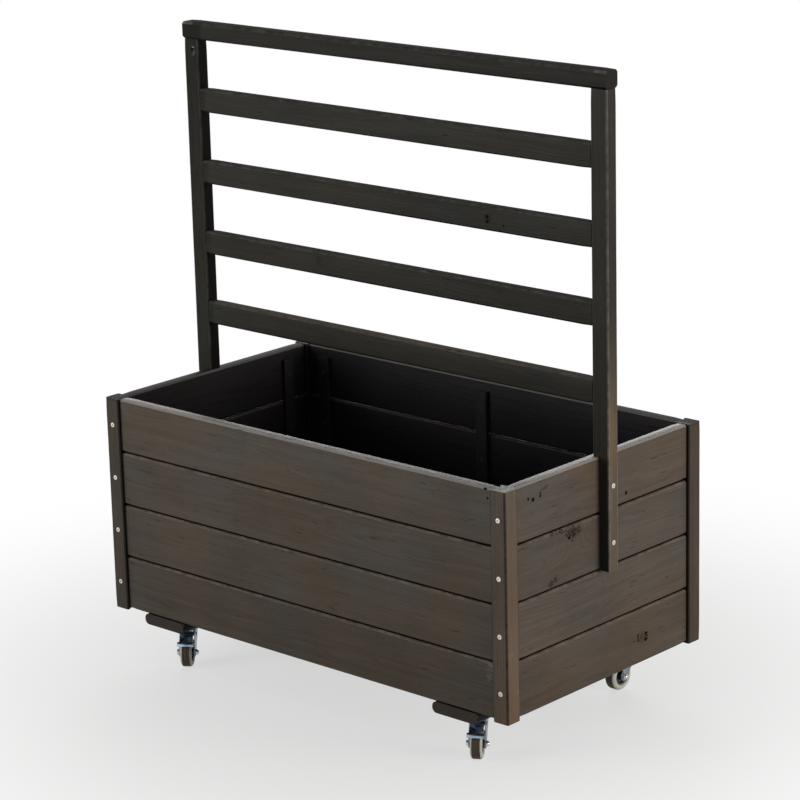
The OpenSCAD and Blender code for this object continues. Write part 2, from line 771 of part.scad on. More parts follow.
post(-1, -1);  // post_front_left
post(1, -1);  // post_front_right
post(-1, 1);  // post_rear_left
post(1, 1);  // post_rear_right
long_board(-1, 1);  // front_board_1
long_board(-1, 2);  // front_board_2
long_board(-1, 3);  // front_board_3
long_board(-1, 4);  // front_board_4
long_board(1, 1);  // rear_board_1
long_board(1, 2);  // rear_board_2
long_board(1, 3);  // rear_board_3
long_board(1, 4);  // rear_board_4
end_board(-1, 1);  // left_board_1
end_board(-1, 2);  // left_board_2
end_board(-1, 3);  // left_board_3
end_board(-1, 4);  // left_board_4
end_board(1, 1);  // right_board_1
end_board(1, 2);  // right_board_2
end_board(1, 3);  // right_board_3
end_board(1, 4);  // right_board_4
long_wall_battens();
end_wall_battens();
floor_board(1);  // floor_board_1
floor_board(2);  // floor_board_2
floor_board(3);  // floor_board_3
floor_board(4);  // floor_board_4
bearer(-1);  // bearer_left
bearer(1);  // bearer_right
upright(-1);  // upright_left
upright(1);  // upright_right
top_rail();
slat(1);  // slat_1
slat(2);  // slat_2
slat(3);  // slat_3
slat(4);  // slat_4
frame_screws();
trellis_screws();
inner_screws();
castor_screws();
castor_plates();
kingpins();
castor_balls();
fork(0);  // fork_front_left
fork(1);  // fork_front_right
fork(2);  // fork_rear_left
fork(3);  // fork_rear_right
axle(0);  // axle_front_left
axle(1);  // axle_front_right
axle(2);  // axle_rear_left
axle(3);  // axle_rear_right
wheel(0);  // wheel_front_left
wheel(1);  // wheel_front_right
wheel(2);  // wheel_rear_left
wheel(3);  // wheel_rear_right
tyre(0);  // tyre_front_left
tyre(1);  // tyre_front_right
tyre(2);  // tyre_rear_left
tyre(3);  // tyre_rear_right
brake_pedal(0);  // brake_pedal_front_left
brake_pedal(1);  // brake_pedal_front_right
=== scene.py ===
"""Looks of the rolling planter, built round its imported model.

Sizes are in metres. X runs along the box, -Y is its front and the wheels stand on Z = 0.
"""

import math
from functools import partial

import bmesh
import bpy
from mathutils import Matrix, Vector


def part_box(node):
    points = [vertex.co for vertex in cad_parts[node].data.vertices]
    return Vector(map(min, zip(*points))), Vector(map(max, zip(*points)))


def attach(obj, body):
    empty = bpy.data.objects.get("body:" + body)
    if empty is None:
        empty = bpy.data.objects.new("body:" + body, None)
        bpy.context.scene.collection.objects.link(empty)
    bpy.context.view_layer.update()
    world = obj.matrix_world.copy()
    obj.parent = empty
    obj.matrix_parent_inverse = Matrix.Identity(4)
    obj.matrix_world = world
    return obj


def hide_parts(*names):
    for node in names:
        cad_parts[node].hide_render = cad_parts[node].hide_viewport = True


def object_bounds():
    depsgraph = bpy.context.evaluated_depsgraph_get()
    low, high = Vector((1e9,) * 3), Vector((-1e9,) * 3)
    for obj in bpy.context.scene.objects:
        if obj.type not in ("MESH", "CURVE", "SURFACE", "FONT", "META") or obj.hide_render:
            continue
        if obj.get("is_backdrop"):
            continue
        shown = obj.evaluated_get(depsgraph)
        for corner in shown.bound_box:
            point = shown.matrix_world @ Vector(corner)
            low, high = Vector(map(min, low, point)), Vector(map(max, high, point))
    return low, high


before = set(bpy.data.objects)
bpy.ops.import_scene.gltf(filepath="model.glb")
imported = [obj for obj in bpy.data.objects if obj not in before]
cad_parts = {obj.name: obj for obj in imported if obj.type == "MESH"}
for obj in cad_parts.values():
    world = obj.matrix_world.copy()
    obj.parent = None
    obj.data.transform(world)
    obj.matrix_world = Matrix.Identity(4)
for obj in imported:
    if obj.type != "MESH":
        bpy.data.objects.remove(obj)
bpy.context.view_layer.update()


# ---- Wall boards ----
# Sixteen planed spruce boards in four courses round the box. Their long edges are
# bevelled, so that each joint shows as a V, and they are stained black-brown. The long
# ones are housed in grooves in the posts, and the end ones butt between the posts.

def linear(code):
    """An sRGB hex colour as linear RGBA."""
    parts = [int(code[i:i + 2], 16) / 255 for i in (1, 3, 5)]
    return [c / 12.92 if c <= 0.04045 else ((c + 0.055) / 1.055) ** 2.4 for c in parts] + [1.0]


def feed(tree, node, inputs):
    """Sets or links the node's inputs by name or number."""
    for key, value in inputs.items():
        if isinstance(value, bpy.types.NodeSocket):
            tree.links.new(value, node.inputs[key])
        else:
            node.inputs[key].default_value = value


def add(tree, kind, inputs=None, out=0, **settings):
    """Adds a node with its settings and inputs. Gives one output, or all where out is None."""
    made = tree.nodes.new(kind)
    for key, value in settings.items():
        setattr(made, key, value)
    feed(tree, made, inputs or {})
    return made.outputs if out is None else made.outputs[out]


def new_tree(name, sockets):
    """An empty geometry tree with a geometry input, the named inputs and a geometry output."""
    tree = bpy.data.node_groups.new(name, "GeometryNodeTree")
    tree.interface.new_socket("Geometry", in_out="INPUT", socket_type="NodeSocketGeometry")
    for label, kind in sockets.items():
        tree.interface.new_socket(label, in_out="INPUT", socket_type="NodeSocket" + kind)
    tree.interface.new_socket("Geometry", in_out="OUTPUT", socket_type="NodeSocketGeometry")
    return tree, tree.nodes.new("NodeGroupInput").outputs


def grow(tree, base, values):
    """The plain mesh that the tree makes from the base mesh and the named values."""
    holder = bpy.data.objects.new("growing", base)
    bpy.context.scene.collection.objects.link(holder)
    modifier = holder.modifiers.new("tree", "NODES")
    modifier.node_group = tree
    for item in tree.interface.items_tree:
        if item.in_out == "INPUT" and item.name in values:
            modifier[item.identifier] = values[item.name]
    evaluated = holder.evaluated_get(bpy.context.evaluated_depsgraph_get())
    mesh = bpy.data.meshes.new_from_object(evaluated)
    holder.modifiers.clear()
    bpy.data.objects.remove(holder)
    return mesh


def piece(name, mesh, body, nodes):
    """Shows the mesh as a piece on a body, in place of the CAD nodes."""
    made = bpy.data.objects.new(name, mesh)
    bpy.context.scene.collection.objects.link(made)
    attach(made, body)
    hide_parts(*nodes)


def taken(shape, name):
    """The mesh that a bmesh holds."""
    made = bpy.data.meshes.new(name)
    shape.to_mesh(made)
    shape.free()
    return made


def joined(meshes):
    """One mesh of several."""
    both = bmesh.new()
    for mesh in meshes:
        both.from_mesh(mesh)
    made = taken(both, "joined")
    for material in meshes[0].materials:
        made.materials.append(material)
    return made


def lathe(profile, count=24, closed=False):
    """A mesh turned round Z from points of radius and height, top first."""
    turned = bmesh.new()
    rings = []
    for radius, height in profile:
        if radius < 1e-7:
            rings.append([turned.verts.new((0, 0, height))] * count)
            continue
        rings.append([
            turned.verts.new((
                radius * math.cos(k * math.tau / count),
                radius * math.sin(k * math.tau / count), height,
            )) for k in range(count)
        ])
    pairs = list(zip(rings, rings[1:]))
    if closed:
        pairs.append((rings[-1], rings[0]))
    for upper, lower in pairs:
        for k in range(count):
            around = [upper[k], lower[k], lower[(k + 1) % count], upper[(k + 1) % count]]
            corners = list(dict.fromkeys(around))
            if len(corners) > 2:
                turned.faces.new(corners)
    bmesh.ops.recalc_face_normals(turned, faces=turned.faces)
    return taken(turned, "turned")


def box_mesh(one, other):
    """A box between any two opposite corners, as a cutter."""
    cut = bmesh.new()
    middle = (Vector(one) + Vector(other)) / 2
    size = [abs(a - b) for a, b in zip(one, other)]
    bmesh.ops.create_cube(
        cut, size=1, matrix=Matrix.Translation(middle) @ Matrix.Diagonal((*size, 1)))
    return taken(cut, "cut")


def facing(at, way):
    """The turn and shift that bring Z = 0, looking up, to a point that looks along way."""
    return Matrix.Translation(at) @ Vector(way).to_track_quat("Z", "Y").to_matrix().to_4x4()


HEAD_R, HEAD_H, SHANK_R = 0.00425, 0.003, 0.00225
THIN_HEAD_R, THIN_HEAD_H, THIN_SHANK_R = 0.00325, 0.002, 0.00175
HOLE_EASE = 0.0002
LONG_SCREW, LAP_SCREW, THIN_SCREW, FLOOR_SCREW, TOE_SCREW = 0.060, 0.038, 0.024, 0.034, 0.044


def countersink(at, way, length, head=(HEAD_R, HEAD_H), shank_r=SHANK_R, above=0.002):
    """The cut that a countersunk screw needs, with its mouth at a point."""
    head_r, head_h = head
    cut = lathe([
        (0, above), (head_r + HOLE_EASE, above), (head_r + HOLE_EASE, -HOLE_EASE),
        (shank_r + HOLE_EASE, -head_h), (shank_r + HOLE_EASE, -length), (0, -length),
    ])
    cut.transform(facing(at, way))
    return cut


long_hole = partial(countersink, length=LONG_SCREW + HOLE_EASE)
lap_hole = partial(countersink, length=LAP_SCREW + HOLE_EASE)
thin_hole = partial(countersink, length=THIN_SCREW + HOLE_EASE,
                    head=(THIN_HEAD_R, THIN_HEAD_H), shank_r=THIN_SHANK_R)


def timber_tree():
    """A planed bar along X: bevelled and softened edges, a slight wander, cuts and grain."""
    tree, given = new_tree("Planed timber", {
        "Length": "Float", "Depth": "Float", "Height": "Float", "Edge": "Float",
        "Edge steps": "Int", "Softening": "Float", "Wander": "Float", "Grain from": "Vector",
        "Tone": "Float", "Rotation": "Rotation", "Translation": "Vector", "Timber": "Material",
    })
    put = partial(add, tree)
    outline = put("GeometryNodeCurvePrimitiveQuadrilateral", {
        0: given["Depth"], 1: given["Height"]})
    edged = put("GeometryNodeFilletCurve", {
        "Curve": outline, "Count": given["Edge steps"], "Radius": given["Edge"]}, mode="POLY")
    softened = put("GeometryNodeFilletCurve", {
        "Curve": edged, "Count": 2, "Radius": given["Softening"]}, mode="POLY")
    half = put("ShaderNodeMath", {0: given["Length"], 1: 0.5}, operation="MULTIPLY")
    minus = put("ShaderNodeMath", {0: half, 1: -1.0}, operation="MULTIPLY")
    start, end = (put("ShaderNodeCombineXYZ", {0: x}) for x in (minus, half))
    line = put("GeometryNodeCurvePrimitiveLine", {0: start, 1: end})
    stations = put("GeometryNodeResampleCurve", {"Curve": line, "Length": 0.02}, mode="LENGTH")
    bar = put("GeometryNodeCurveToMesh", {
        "Curve": stations, "Profile Curve": softened, "Fill Caps": True})
    place = put("GeometryNodeInputPosition")

    # The end rings draw in by the softening, so that the ends' edges are eased too.
    along = put("ShaderNodeSeparateXYZ", {0: place})
    off_middle = put("ShaderNodeMath", {0: along}, operation="ABSOLUTE")
    short_of_end = put("ShaderNodeMath", {0: half, 1: 0.0005}, operation="SUBTRACT")
    at_end = put("FunctionNodeCompare", {0: off_middle, 1: short_of_end}, operation="GREATER_THAN")
    twice = put("ShaderNodeMath", {0: given["Softening"], 1: -2.0}, operation="MULTIPLY")
    draw_y, draw_z = (
        put("ShaderNodeMath", {0: twice, 1: given[side]}, operation="DIVIDE")
        for side in ("Depth", "Height"))
    draw = put("ShaderNodeCombineXYZ", {1: draw_y, 2: draw_z})
    inward = put("ShaderNodeVectorMath", {0: place, 1: draw}, operation="MULTIPLY")
    eased = put("GeometryNodeSetPosition", {
        "Geometry": bar, "Selection": at_end, "Offset": inward})

    # Planed timber isn't quite straight: the faces wander by a fraction of a millimetre.
    grain_at = put("ShaderNodeVectorMath", {0: place, 1: given["Grain from"]})
    slow = put("ShaderNodeTexNoise", {
        "Vector": grain_at, "Scale": 9.0, "Detail": 2.0}, out="Color")
    centred = put("ShaderNodeVectorMath", {0: slow, 1: (0.5, 0.5, 0.5)}, operation="SUBTRACT")
    across = put("ShaderNodeVectorMath", {0: centred, 1: (0, 1, 1)}, operation="MULTIPLY")
    wander = put("ShaderNodeVectorMath", {0: across, "Scale": given["Wander"]}, operation="SCALE")
    wavy = put("GeometryNodeSetPosition", {"Geometry": eased, "Offset": wander})
    shape = put("GeometryNodeMeshBoolean", {0: wavy, 1: given["Geometry"]},
                operation="DIFFERENCE", solver="MANIFOLD")

    # Grain coordinates, in metres from the heart of the tree, and marks for edges and ends.
    normal = put("GeometryNodeInputNormal", out="Normal")
    ways = put("ShaderNodeVectorMath", {0: normal}, operation="ABSOLUTE")
    ways = put("ShaderNodeSeparateXYZ", {0: ways}, out=None)
    end_face = put("ShaderNodeMath", {0: ways[0], 1: 0.8}, operation="GREATER_THAN")
    flat = put("ShaderNodeMath", {0: ways[0], 1: ways[1]}, operation="MAXIMUM")
    flat = put("ShaderNodeMath", {0: flat, 1: ways[2]}, operation="MAXIMUM")
    slanting = put("ShaderNodeMath", {0: flat, 1: 0.985}, operation="LESS_THAN")
    for label, value, kind, domain in (
            ("timber", grain_at, "FLOAT_VECTOR", "POINT"),
            ("tone", given["Tone"], "FLOAT", "POINT"),
            ("end_grain", end_face, "FLOAT", "FACE"), ("arris", slanting, "FLOAT", "FACE")):
        shape = put("GeometryNodeStoreNamedAttribute", {
            "Geometry": shape, "Name": label, "Value": value}, data_type=kind, domain=domain)
    placed = put("GeometryNodeTransform", {
        "Geometry": shape, "Translation": given["Translation"], "Rotation": given["Rotation"]})
    real = put("GeometryNodeRealizeInstances", {"Geometry": placed})
    finished = put("GeometryNodeSetMaterial", {"Geometry": real, "Material": given["Timber"]})
    put("NodeGroupOutput", {0: finished}, out=None)
    return tree


PLANED_TIMBER = timber_tree()
TURNS = {"X": (0, 0, 0), "Y": (0, 0, math.pi / 2), "Z": (0, -math.pi / 2, 0)}


def timber(low, high, along, material, seed, edge=0.003, edge_steps=1, softening=0.0007,
           wander=0.0004, tone=1.0, cuts=()):
    """A timber that fills the box from low to high, with its grain along one axis."""
    middle = (Vector(low) + Vector(high)) / 2
    size = Vector(high) - Vector(low)
    length, depth, height = {
        "X": (size.x, size.y, size.z), "Y": (size.y, size.x, size.z), "Z": (size.z, size.y, size.x),
    }[along]
    turn = Matrix.Rotation(TURNS[along][2], 4, "Z") @ Matrix.Rotation(TURNS[along][1], 4, "Y")
    base = joined(list(cuts)) if cuts else bpy.data.meshes.new("no cuts")
    base.transform((Matrix.Translation(middle) @ turn).inverted())
    pith = (seed * 1.37 % 40, 0.02 + seed * 0.61 % 0.06, seed * 0.83 % 0.07 - 0.035)
    return grow(PLANED_TIMBER, base, {
        "Length": length, "Depth": depth, "Height": height, "Edge": edge,
        "Edge steps": edge_steps, "Softening": softening, "Wander": wander,
        "Grain from": pith, "Tone": tone, "Rotation": TURNS[along],
        "Translation": tuple(middle), "Timber": material,
    })


def planed(node, along, material, seed, slot="stained_wood", trim=(0.0, 0.0), **shape):
    """Shows the CAD node's box as one timber, trimmed at its foot and top."""
    low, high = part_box(node)
    low.z, high.z = low.z + trim[0], high.z - trim[1]
    mesh = timber(low, high, along, material, seed, **shape)
    piece(node + "_planed", mesh, "root", [node])


def blank_material(name):
    """A new material with its tree and its shader."""
    material = bpy.data.materials.new(name)
    material.use_nodes = True
    return material, material.node_tree, material.node_tree.nodes["Principled BSDF"]


# The faces beyond these planes are the box's outer ones, and those above RIM_FROM its rim.
OUTER_X, OUTER_Y, RIM_FROM = 0.4405, 0.2405, 0.468
YEAR_RING, SPECK_R = 0.0032, 0.0055


def stained_spruce(name, faded_and_lit, fresh_and_shaded, rubbed, knot_tint, crack, roughness, gloss,
                   arris_colour=None, spots=(), marks=(), chips=(), lit_end_tint=(1, 1, 1), inner_side_shade=1.0):
    """Planed spruce under a dark stain. The eye sees fine streaks along the grain, faint arcs
    of late wood, a few small knots, thirsty dark end grain and paler, rubbed arrises. The
    faces that look out take a paler colour, which on the rim's tops is painted light, and
    the rest a nearly black one, partly the stain's own colour and partly painted shade.

    This object's own knots, dark marks and chips are given as pairs of a place and a radius.
    Painted light tints the outward end faces lighter and warmer, by a given tint. Painted shade
    darkens the uprights' inner faces over the box, by a given factor. An arris colour is for
    arrises that stay darker than the faces.
    """
    material, tree, shader = blank_material(name)
    put = partial(add, tree)
    grain = put("ShaderNodeAttribute", out="Vector", attribute_name="timber")
    tone, arris, end_grain = (
        put("ShaderNodeAttribute", out="Fac", attribute_name=label)
        for label in ("tone", "arris", "end_grain"))
    where = put("ShaderNodeTexCoord", out="Object")
    looks = put("ShaderNodeNewGeometry", out="Normal")

    # The grain wanders by several millimetres over a few hundred.
    stretched = put("ShaderNodeMapping", {"Vector": grain, "Scale": (2.6, 11, 11)})
    slow = put("ShaderNodeTexNoise", {
        "Vector": stretched, "Scale": 1.0, "Detail": 3.0}, out="Color")
    slow = put("ShaderNodeVectorMath", {0: slow, 1: (0.5, 0.5, 0.5)}, operation="SUBTRACT")
    slow = put("ShaderNodeVectorMath", {0: slow, 1: (0, 0.024, 0.024)}, operation="MULTIPLY")
    bent = put("ShaderNodeVectorMath", {0: grain, 1: slow})

    # Uneven patterns: what each lies on, its number to the metre, its detail, and the values
    # of it that become others. Those with a number along and across the grain follow it.
    # Real fibres are some 0.03 mm across, drawn here as streaks of 1 to 2 mm.
    most, least = (2.0, 1.3) if arris_colour else (0.75, 0.3)
    noise = {}
    for label, at, scale, detail, *span in (
            ("knot edge", where, 150.0, 3.0), ("mark edge", where, 260.0, 4.0),
            ("dots", where, 380.0, 2.0, 0.44, 0.56, 0.1, 0.85),
            ("bark", where, 55.0, 1.0, 0.4, 0.58, 0.2, 1.0),
            ("split", where, 330.0, 2.0), ("hue", where, 5.5, 3.0, 0.38, 0.62, 0.0, 1.0),
            ("chipped", where, 13.0, 1.0, 0.7, 0.8, 0.0, 1.0),
            ("wear", where, 60.0, 4.0, 0.4, 0.66, least, most),
            ("cloud", grain, 7.0, 4.0, 0.3, 0.7, 0.86, 1.12),
            ("fibre", bent, (7, 620, 620), 3.0), ("streak", bent, (2.2, 80, 80), 3.0),
            ("check", bent, (26, 330, 330), 1.0, 0.7, 0.78, 0.0, 0.7),
            ("flake", bent, (70, 700, 700), 2.0)):
        if isinstance(scale, tuple):
            at, scale = put("ShaderNodeMapping", {"Vector": at, "Scale": scale}), 1.0
        noise[label] = put("ShaderNodeTexNoise", {
            "Vector": at, "Scale": scale, "Detail": detail}, out="Fac")
        if span:
            noise[label] = put("ShaderNodeMapRange", {
                0: noise[label], **dict(enumerate(span, 1))})
    away = {
        place: put("ShaderNodeVectorMath", {0: where, 1: place}, operation="DISTANCE", out="Value")
        for place, size in (*spots, *marks, *chips)
    }

    # Knots, measured in their own radii: some 7 mm in radius in sparse cells of a pattern on
    # the face, with a ring of bark, and at the places where this object has them. The knot's
    # body is tinted, its middle is split, and the year rings swirl round it.
    on_face = put("ShaderNodeMapping", {"Vector": bent, "Scale": (1, 0.25, 1)})
    cells = put("ShaderNodeTexVoronoi", {"Vector": on_face, "Scale": 6.5}, out=None)
    chosen = put("ShaderNodeSeparateColor", {0: cells["Color"]})
    absent = put("ShaderNodeMath", {0: chosen, 1: 0.82}, operation="LESS_THAN")
    absent = put("ShaderNodeMath", {0: absent, 1: 20.0}, operation="MULTIPLY")
    near = put("ShaderNodeMath", {
        0: cells["Distance"], 1: 1 / 0.045, 2: absent}, operation="MULTIPLY_ADD")
    ragged = put("ShaderNodeMath", {0: noise["knot edge"], 1: 0.5}, operation="SUBTRACT")
    near = put("ShaderNodeMath", {0: ragged, 1: 1.1, 2: near}, operation="MULTIPLY_ADD")
    off_bark = put("ShaderNodeMath", {0: near, 1: 1.0}, operation="SUBTRACT")
    off_bark = put("ShaderNodeMath", {0: off_bark}, operation="ABSOLUTE")
    bark = put("ShaderNodeMapRange", {
        "Value": off_bark, "From Min": 0.04, "From Max": 0.3, "To Min": 0.7, "To Max": 0.0,
    }, interpolation_type="SMOOTHSTEP")
    bark = put("ShaderNodeMath", {0: bark, 1: noise["bark"]}, operation="MULTIPLY")
    for place, size in spots:
        radii = put("ShaderNodeMath", {0: away[place], 1: 1 / size}, operation="MULTIPLY")
        near = put("ShaderNodeMath", {0: near, 1: radii}, operation="MINIMUM")
    body, middle, swirl = (
        put("ShaderNodeMapRange", {
            "Value": near, "From Min": inner, "From Max": outer, "To Min": most, "To Max": 0.0,
        }, interpolation_type=ramp)
        for inner, outer, most, ramp in (
            (0.5, 1.2, 1.0, "SMOOTHSTEP"), (0.35, 0.8, 1.0, "LINEAR"),
            (0.0, 4.5, 0.012, "SMOOTHSTEP")))
    split = put("ShaderNodeMapRange", {
        "Value": noise["split"], "From Min": 0.53, "From Max": 0.6,
    }, interpolation_type="SMOOTHSTEP")
    split = put("ShaderNodeMath", {0: split, 1: middle}, operation="MULTIPLY")

    # Dark marks with frayed edges. Those larger than a speck break up into dots.
    frayed = put("ShaderNodeMath", {0: noise["mark edge"], 1: 0.5}, operation="SUBTRACT")
    marked = 0.0
    for place, size in marks:
        radii = put("ShaderNodeMath", {0: away[place], 1: 1 / size}, operation="MULTIPLY")
        radii = put("ShaderNodeMath", {0: frayed, 1: 2.6, 2: radii}, operation="MULTIPLY_ADD")
        mark = put("ShaderNodeMapRange", {
            "Value": radii, "From Min": 0.85, "From Max": 1.1,
            "To Min": 1.0 if size < SPECK_R else noise["dots"], "To Max": 0.0})
        marked = put("ShaderNodeMath", {0: marked, 1: mark}, operation="MAXIMUM")

    # Year rings are cylinders round the heart of the tree.
    flat = put("ShaderNodeVectorMath", {0: bent, 1: (0, 1, 1)}, operation="MULTIPLY")
    radius = put("ShaderNodeVectorMath", {0: flat}, operation="LENGTH", out="Value")
    radius = put("ShaderNodeMath", {0: radius, 1: swirl}, operation="ADD")
    years = put("ShaderNodeMath", {0: radius, 1: 1 / YEAR_RING}, operation="MULTIPLY")
    season = put("ShaderNodeMath", {0: years}, operation="FRACT")
    late_wood = put("ShaderNodeMapRange", {
        "Value": season, "From Min": 0.35, "From Max": 0.95}, interpolation_type="SMOOTHSTEP")

    # Where the wood looks out: to the sides from the box's own outer faces, or up from the
    # rim, whose paler colour there is painted light, but less so on the rear and left rims,
    # as painted shade. High up on the trellis the outward faces keep the dark colour.
    places, ways = (
        put("ShaderNodeSeparateXYZ", {
            0: put("ShaderNodeVectorMath", {0: vector}, operation="ABSOLUTE")}, out=None)
        for vector in (where, looks))
    looks_up = put("ShaderNodeSeparateXYZ", {0: looks}, out=2)
    past_end, past_side, high_up = (
        put("ShaderNodeMath", {0: places[axis], 1: plane}, operation="GREATER_THAN")
        for axis, plane in enumerate((OUTER_X, OUTER_Y, RIM_FROM)))
    end_side = put("ShaderNodeMath", {0: past_end, 1: ways[0]}, operation="MULTIPLY")
    long_side = put("ShaderNodeMath", {0: past_side, 1: ways[1]}, operation="MULTIPLY")
    rim = put("ShaderNodeMath", {0: high_up, 1: looks_up}, operation="MULTIPLY")
    spot = put("ShaderNodeSeparateXYZ", {0: where}, out=None)
    at_rear = put("ShaderNodeMapRange", {"Value": spot[1], "From Min": 0.215, "From Max": 0.230})
    at_left = put("ShaderNodeMapRange", {"Value": spot[0], "From Min": -0.415, "From Max": -0.424})
    rear_left_part = put("ShaderNodeMath", {0: at_rear, 1: at_left}, operation="MAXIMUM")
    share = put("ShaderNodeMath", {0: rear_left_part, 1: -0.6, 2: 1.0}, operation="MULTIPLY_ADD")
    rim = put("ShaderNodeMath", {0: rim, 1: share}, operation="MULTIPLY")
    outward = put("ShaderNodeMath", {0: end_side, 1: long_side}, operation="MAXIMUM")
    outward = put("ShaderNodeMath", {0: outward, 1: rim}, operation="MAXIMUM")
    outward = put("ShaderNodeMapRange", {
        "Value": outward, "From Min": 0.55, "From Max": 0.85}, interpolation_type="SMOOTHSTEP")
    low_down = put("ShaderNodeMapRange", {
        "Value": places[2], "From Min": 0.5, "From Max": 0.74, "To Min": 1.0, "To Max": 0.02,
    }, interpolation_type="SMOOTHSTEP")
    outward = put("ShaderNodeMath", {0: outward, 1: low_down}, operation="MULTIPLY")

    # Colour: early wood takes the stain paler than late wood, and it is uneven all over.
    streaked = put("ShaderNodeMath", {0: noise["streak"], 1: noise["fibre"]}, operation="ADD")
    mixing = put("ShaderNodeMapRange", {
        "Value": streaked, "From Min": 0.7, "From Max": 1.3, "To Min": 0.1, "To Max": 0.6})
    mixing = put("ShaderNodeMath", {0: late_wood, 1: 0.22, 2: mixing}, operation="MULTIPLY_ADD")
    mixing = put("ShaderNodeMix", {0: end_grain, 2: mixing, 3: late_wood}, data_type="FLOAT")
    # The faces that don't look out take the nearly black colour, partly the stain's own and partly
    # painted shade.
    out_colour, in_colour = (
        put("ShaderNodeMix", {
            0: mixing, 6: linear(early), 7: linear(late)}, data_type="RGBA", out=2)
        for early, late in (faded_and_lit, fresh_and_shaded))
    # Painted light: the outward end faces are tinted lighter and warmer, as if lit from the right.
    lit_end_colour = put("ShaderNodeMix", {
        0: end_side, 6: (1, 1, 1, 1), 7: (*lit_end_tint, 1)}, data_type="RGBA", out=2)
    out_colour = put("ShaderNodeVectorMath", {0: out_colour, 1: lit_end_colour}, operation="MULTIPLY")
    # Painted shade: faces that look along X inside the ends are darkened by the given factor.
    facing_in = put("ShaderNodeMath", {0: ways[0], 1: past_end}, operation="SUBTRACT")
    facing_in = put("ShaderNodeMapRange", {
        "Value": facing_in, "From Min": 0.6, "From Max": 0.9, "To Min": 1.0, "To Max": inner_side_shade})
    in_colour = put("ShaderNodeVectorMath", {0: in_colour, "Scale": facing_in}, operation="SCALE")
    wood = put("ShaderNodeMix", {
        0: outward, 6: in_colour, 7: out_colour}, data_type="RGBA", out=2)
    strength = put("ShaderNodeMath", {0: noise["cloud"], 1: tone}, operation="MULTIPLY")
    wood = put("ShaderNodeVectorMath", {0: wood, "Scale": strength}, operation="SCALE")
    hue = put("ShaderNodeMix", {
        0: noise["hue"], 6: (0.96, 1.01, 1.06, 1), 7: (1.07, 0.98, 0.88, 1)},
        data_type="RGBA", out=2)
    wood = put("ShaderNodeVectorMath", {0: wood, 1: hue}, operation="MULTIPLY")

    # Here and there small flakes of the stain have chipped off.
    lost = put("ShaderNodeMapRange", {
        "Value": noise["flake"], "From Min": 0.62, "From Max": 0.68, "To Min": 0.0, "To Max": 0.6})
    lost = put("ShaderNodeMath", {0: lost, 1: noise["chipped"]}, operation="MULTIPLY")
    for place, size in chips:
        needed = put("ShaderNodeMapRange", {
            "Value": away[place], "From Min": 0.3 * size, "From Max": size,
            "To Min": 0.5, "To Max": 0.75})
        over = put("ShaderNodeMath", {0: noise["flake"], 1: needed}, operation="SUBTRACT")
        over = put("ShaderNodeMapRange", {"Value": over, "From Max": 0.06, "To Max": 0.6})
        lost = put("ShaderNodeMath", {0: lost, 1: over}, operation="MAXIMUM")
    lost = put("ShaderNodeMath", {0: lost, 1: outward}, operation="MULTIPLY")

    # Arrises wear where they look up, most on the outside, and the rim's upper arrises get a
    # painted sheen, a pale grey highlight.
    upper = put("ShaderNodeMapRange", {"Value": looks_up, "From Min": -0.3, "From Max": 0.3})
    beyond = put("ShaderNodeMath", {0: past_end, 1: past_side}, operation="MAXIMUM")
    shown = put("ShaderNodeMapRange", {"Value": beyond, "To Min": 0.3, "To Max": 1.0})
    wear = noise["wear"]
    for part in (arris, upper, shown):
        wear = put("ShaderNodeMath", {0: wear, 1: part}, operation="MULTIPLY")
    rim_sheen = put("ShaderNodeMath", {0: rim, 1: arris}, operation="MULTIPLY")
    on_box = put("ShaderNodeMath", {0: places[2], 1: 0.5}, operation="LESS_THAN")
    rim_sheen = put("ShaderNodeMath", {0: rim_sheen, 1: on_box}, operation="MULTIPLY")
    thirsty = put("ShaderNodeMath", {0: end_grain, 1: 0.35}, operation="MULTIPLY")
    tinted = put("ShaderNodeMath", {0: body, 1: 0.5}, operation="MULTIPLY")

    # Dark are bark, splits, marks and checks, and painted shade under the arrises of the joints.
    under = put("ShaderNodeMapRange", {
        "Value": looks_up, "From Min": -0.35, "From Max": -0.6, "To Min": 0.0, "To Max": 0.8})
    under = put("ShaderNodeMath", {0: under, 1: arris}, operation="MULTIPLY")
    dark = bark
    for part in (split, marked, noise["check"], under):
        dark = put("ShaderNodeMath", {0: dark, 1: part}, operation="MAXIMUM")
    for cover, colour in (
            (lost, rubbed), (wear, arris_colour or rubbed), (rim_sheen, "#9a9794"),
            (thirsty, crack), (tinted, knot_tint), (dark, crack)):
        wood = put("ShaderNodeMix", {
            0: cover, 6: wood, 7: linear(colour)}, data_type="RGBA", out=2)

    # The stain leaves the fibres a little raised, and lies glossier on the late wood. The
    # rear and left rims, the slats' upper edges and the marks are matt.
    rough = put("ShaderNodeMapRange", {
        "Value": streaked, "From Min": 0.7, "From Max": 1.3,
        "To Min": roughness - 0.07, "To Max": roughness + 0.07})
    rough = put("ShaderNodeMath", {0: late_wood, 1: -0.05, 2: rough}, operation="MULTIPLY_ADD")
    dull_rim = put("ShaderNodeMath", {0: high_up, 1: rear_left_part}, operation="MULTIPLY")
    on_slat = put("ShaderNodeMath", {0: places[2], 1: 0.8, 2: 0.31}, operation="COMPARE")
    on_slat = put("ShaderNodeMath", {0: on_slat, 1: looks_up}, operation="MULTIPLY")
    for share, matt in ((dull_rim, 0.75), (on_slat, 1.0), (marked, 1.0)):
        rough = put("ShaderNodeMix", {0: share, 2: rough, 3: matt}, data_type="FLOAT")
    height = noise["fibre"]
    for part, lift in ((late_wood, 0.4), (noise["streak"], 0.6), (dark, -0.9)):
        height = put("ShaderNodeMath", {0: part, 1: lift, 2: height}, operation="MULTIPLY_ADD")
    raised = put("ShaderNodeBump", {"Height": height, "Strength": 0.5, "Distance": 0.0005})
    feed(tree, shader, {"Base Color": wood, "Roughness": rough, "Normal": raised,
                        "IOR": 1.48, "Specular IOR Level": gloss})
    return material


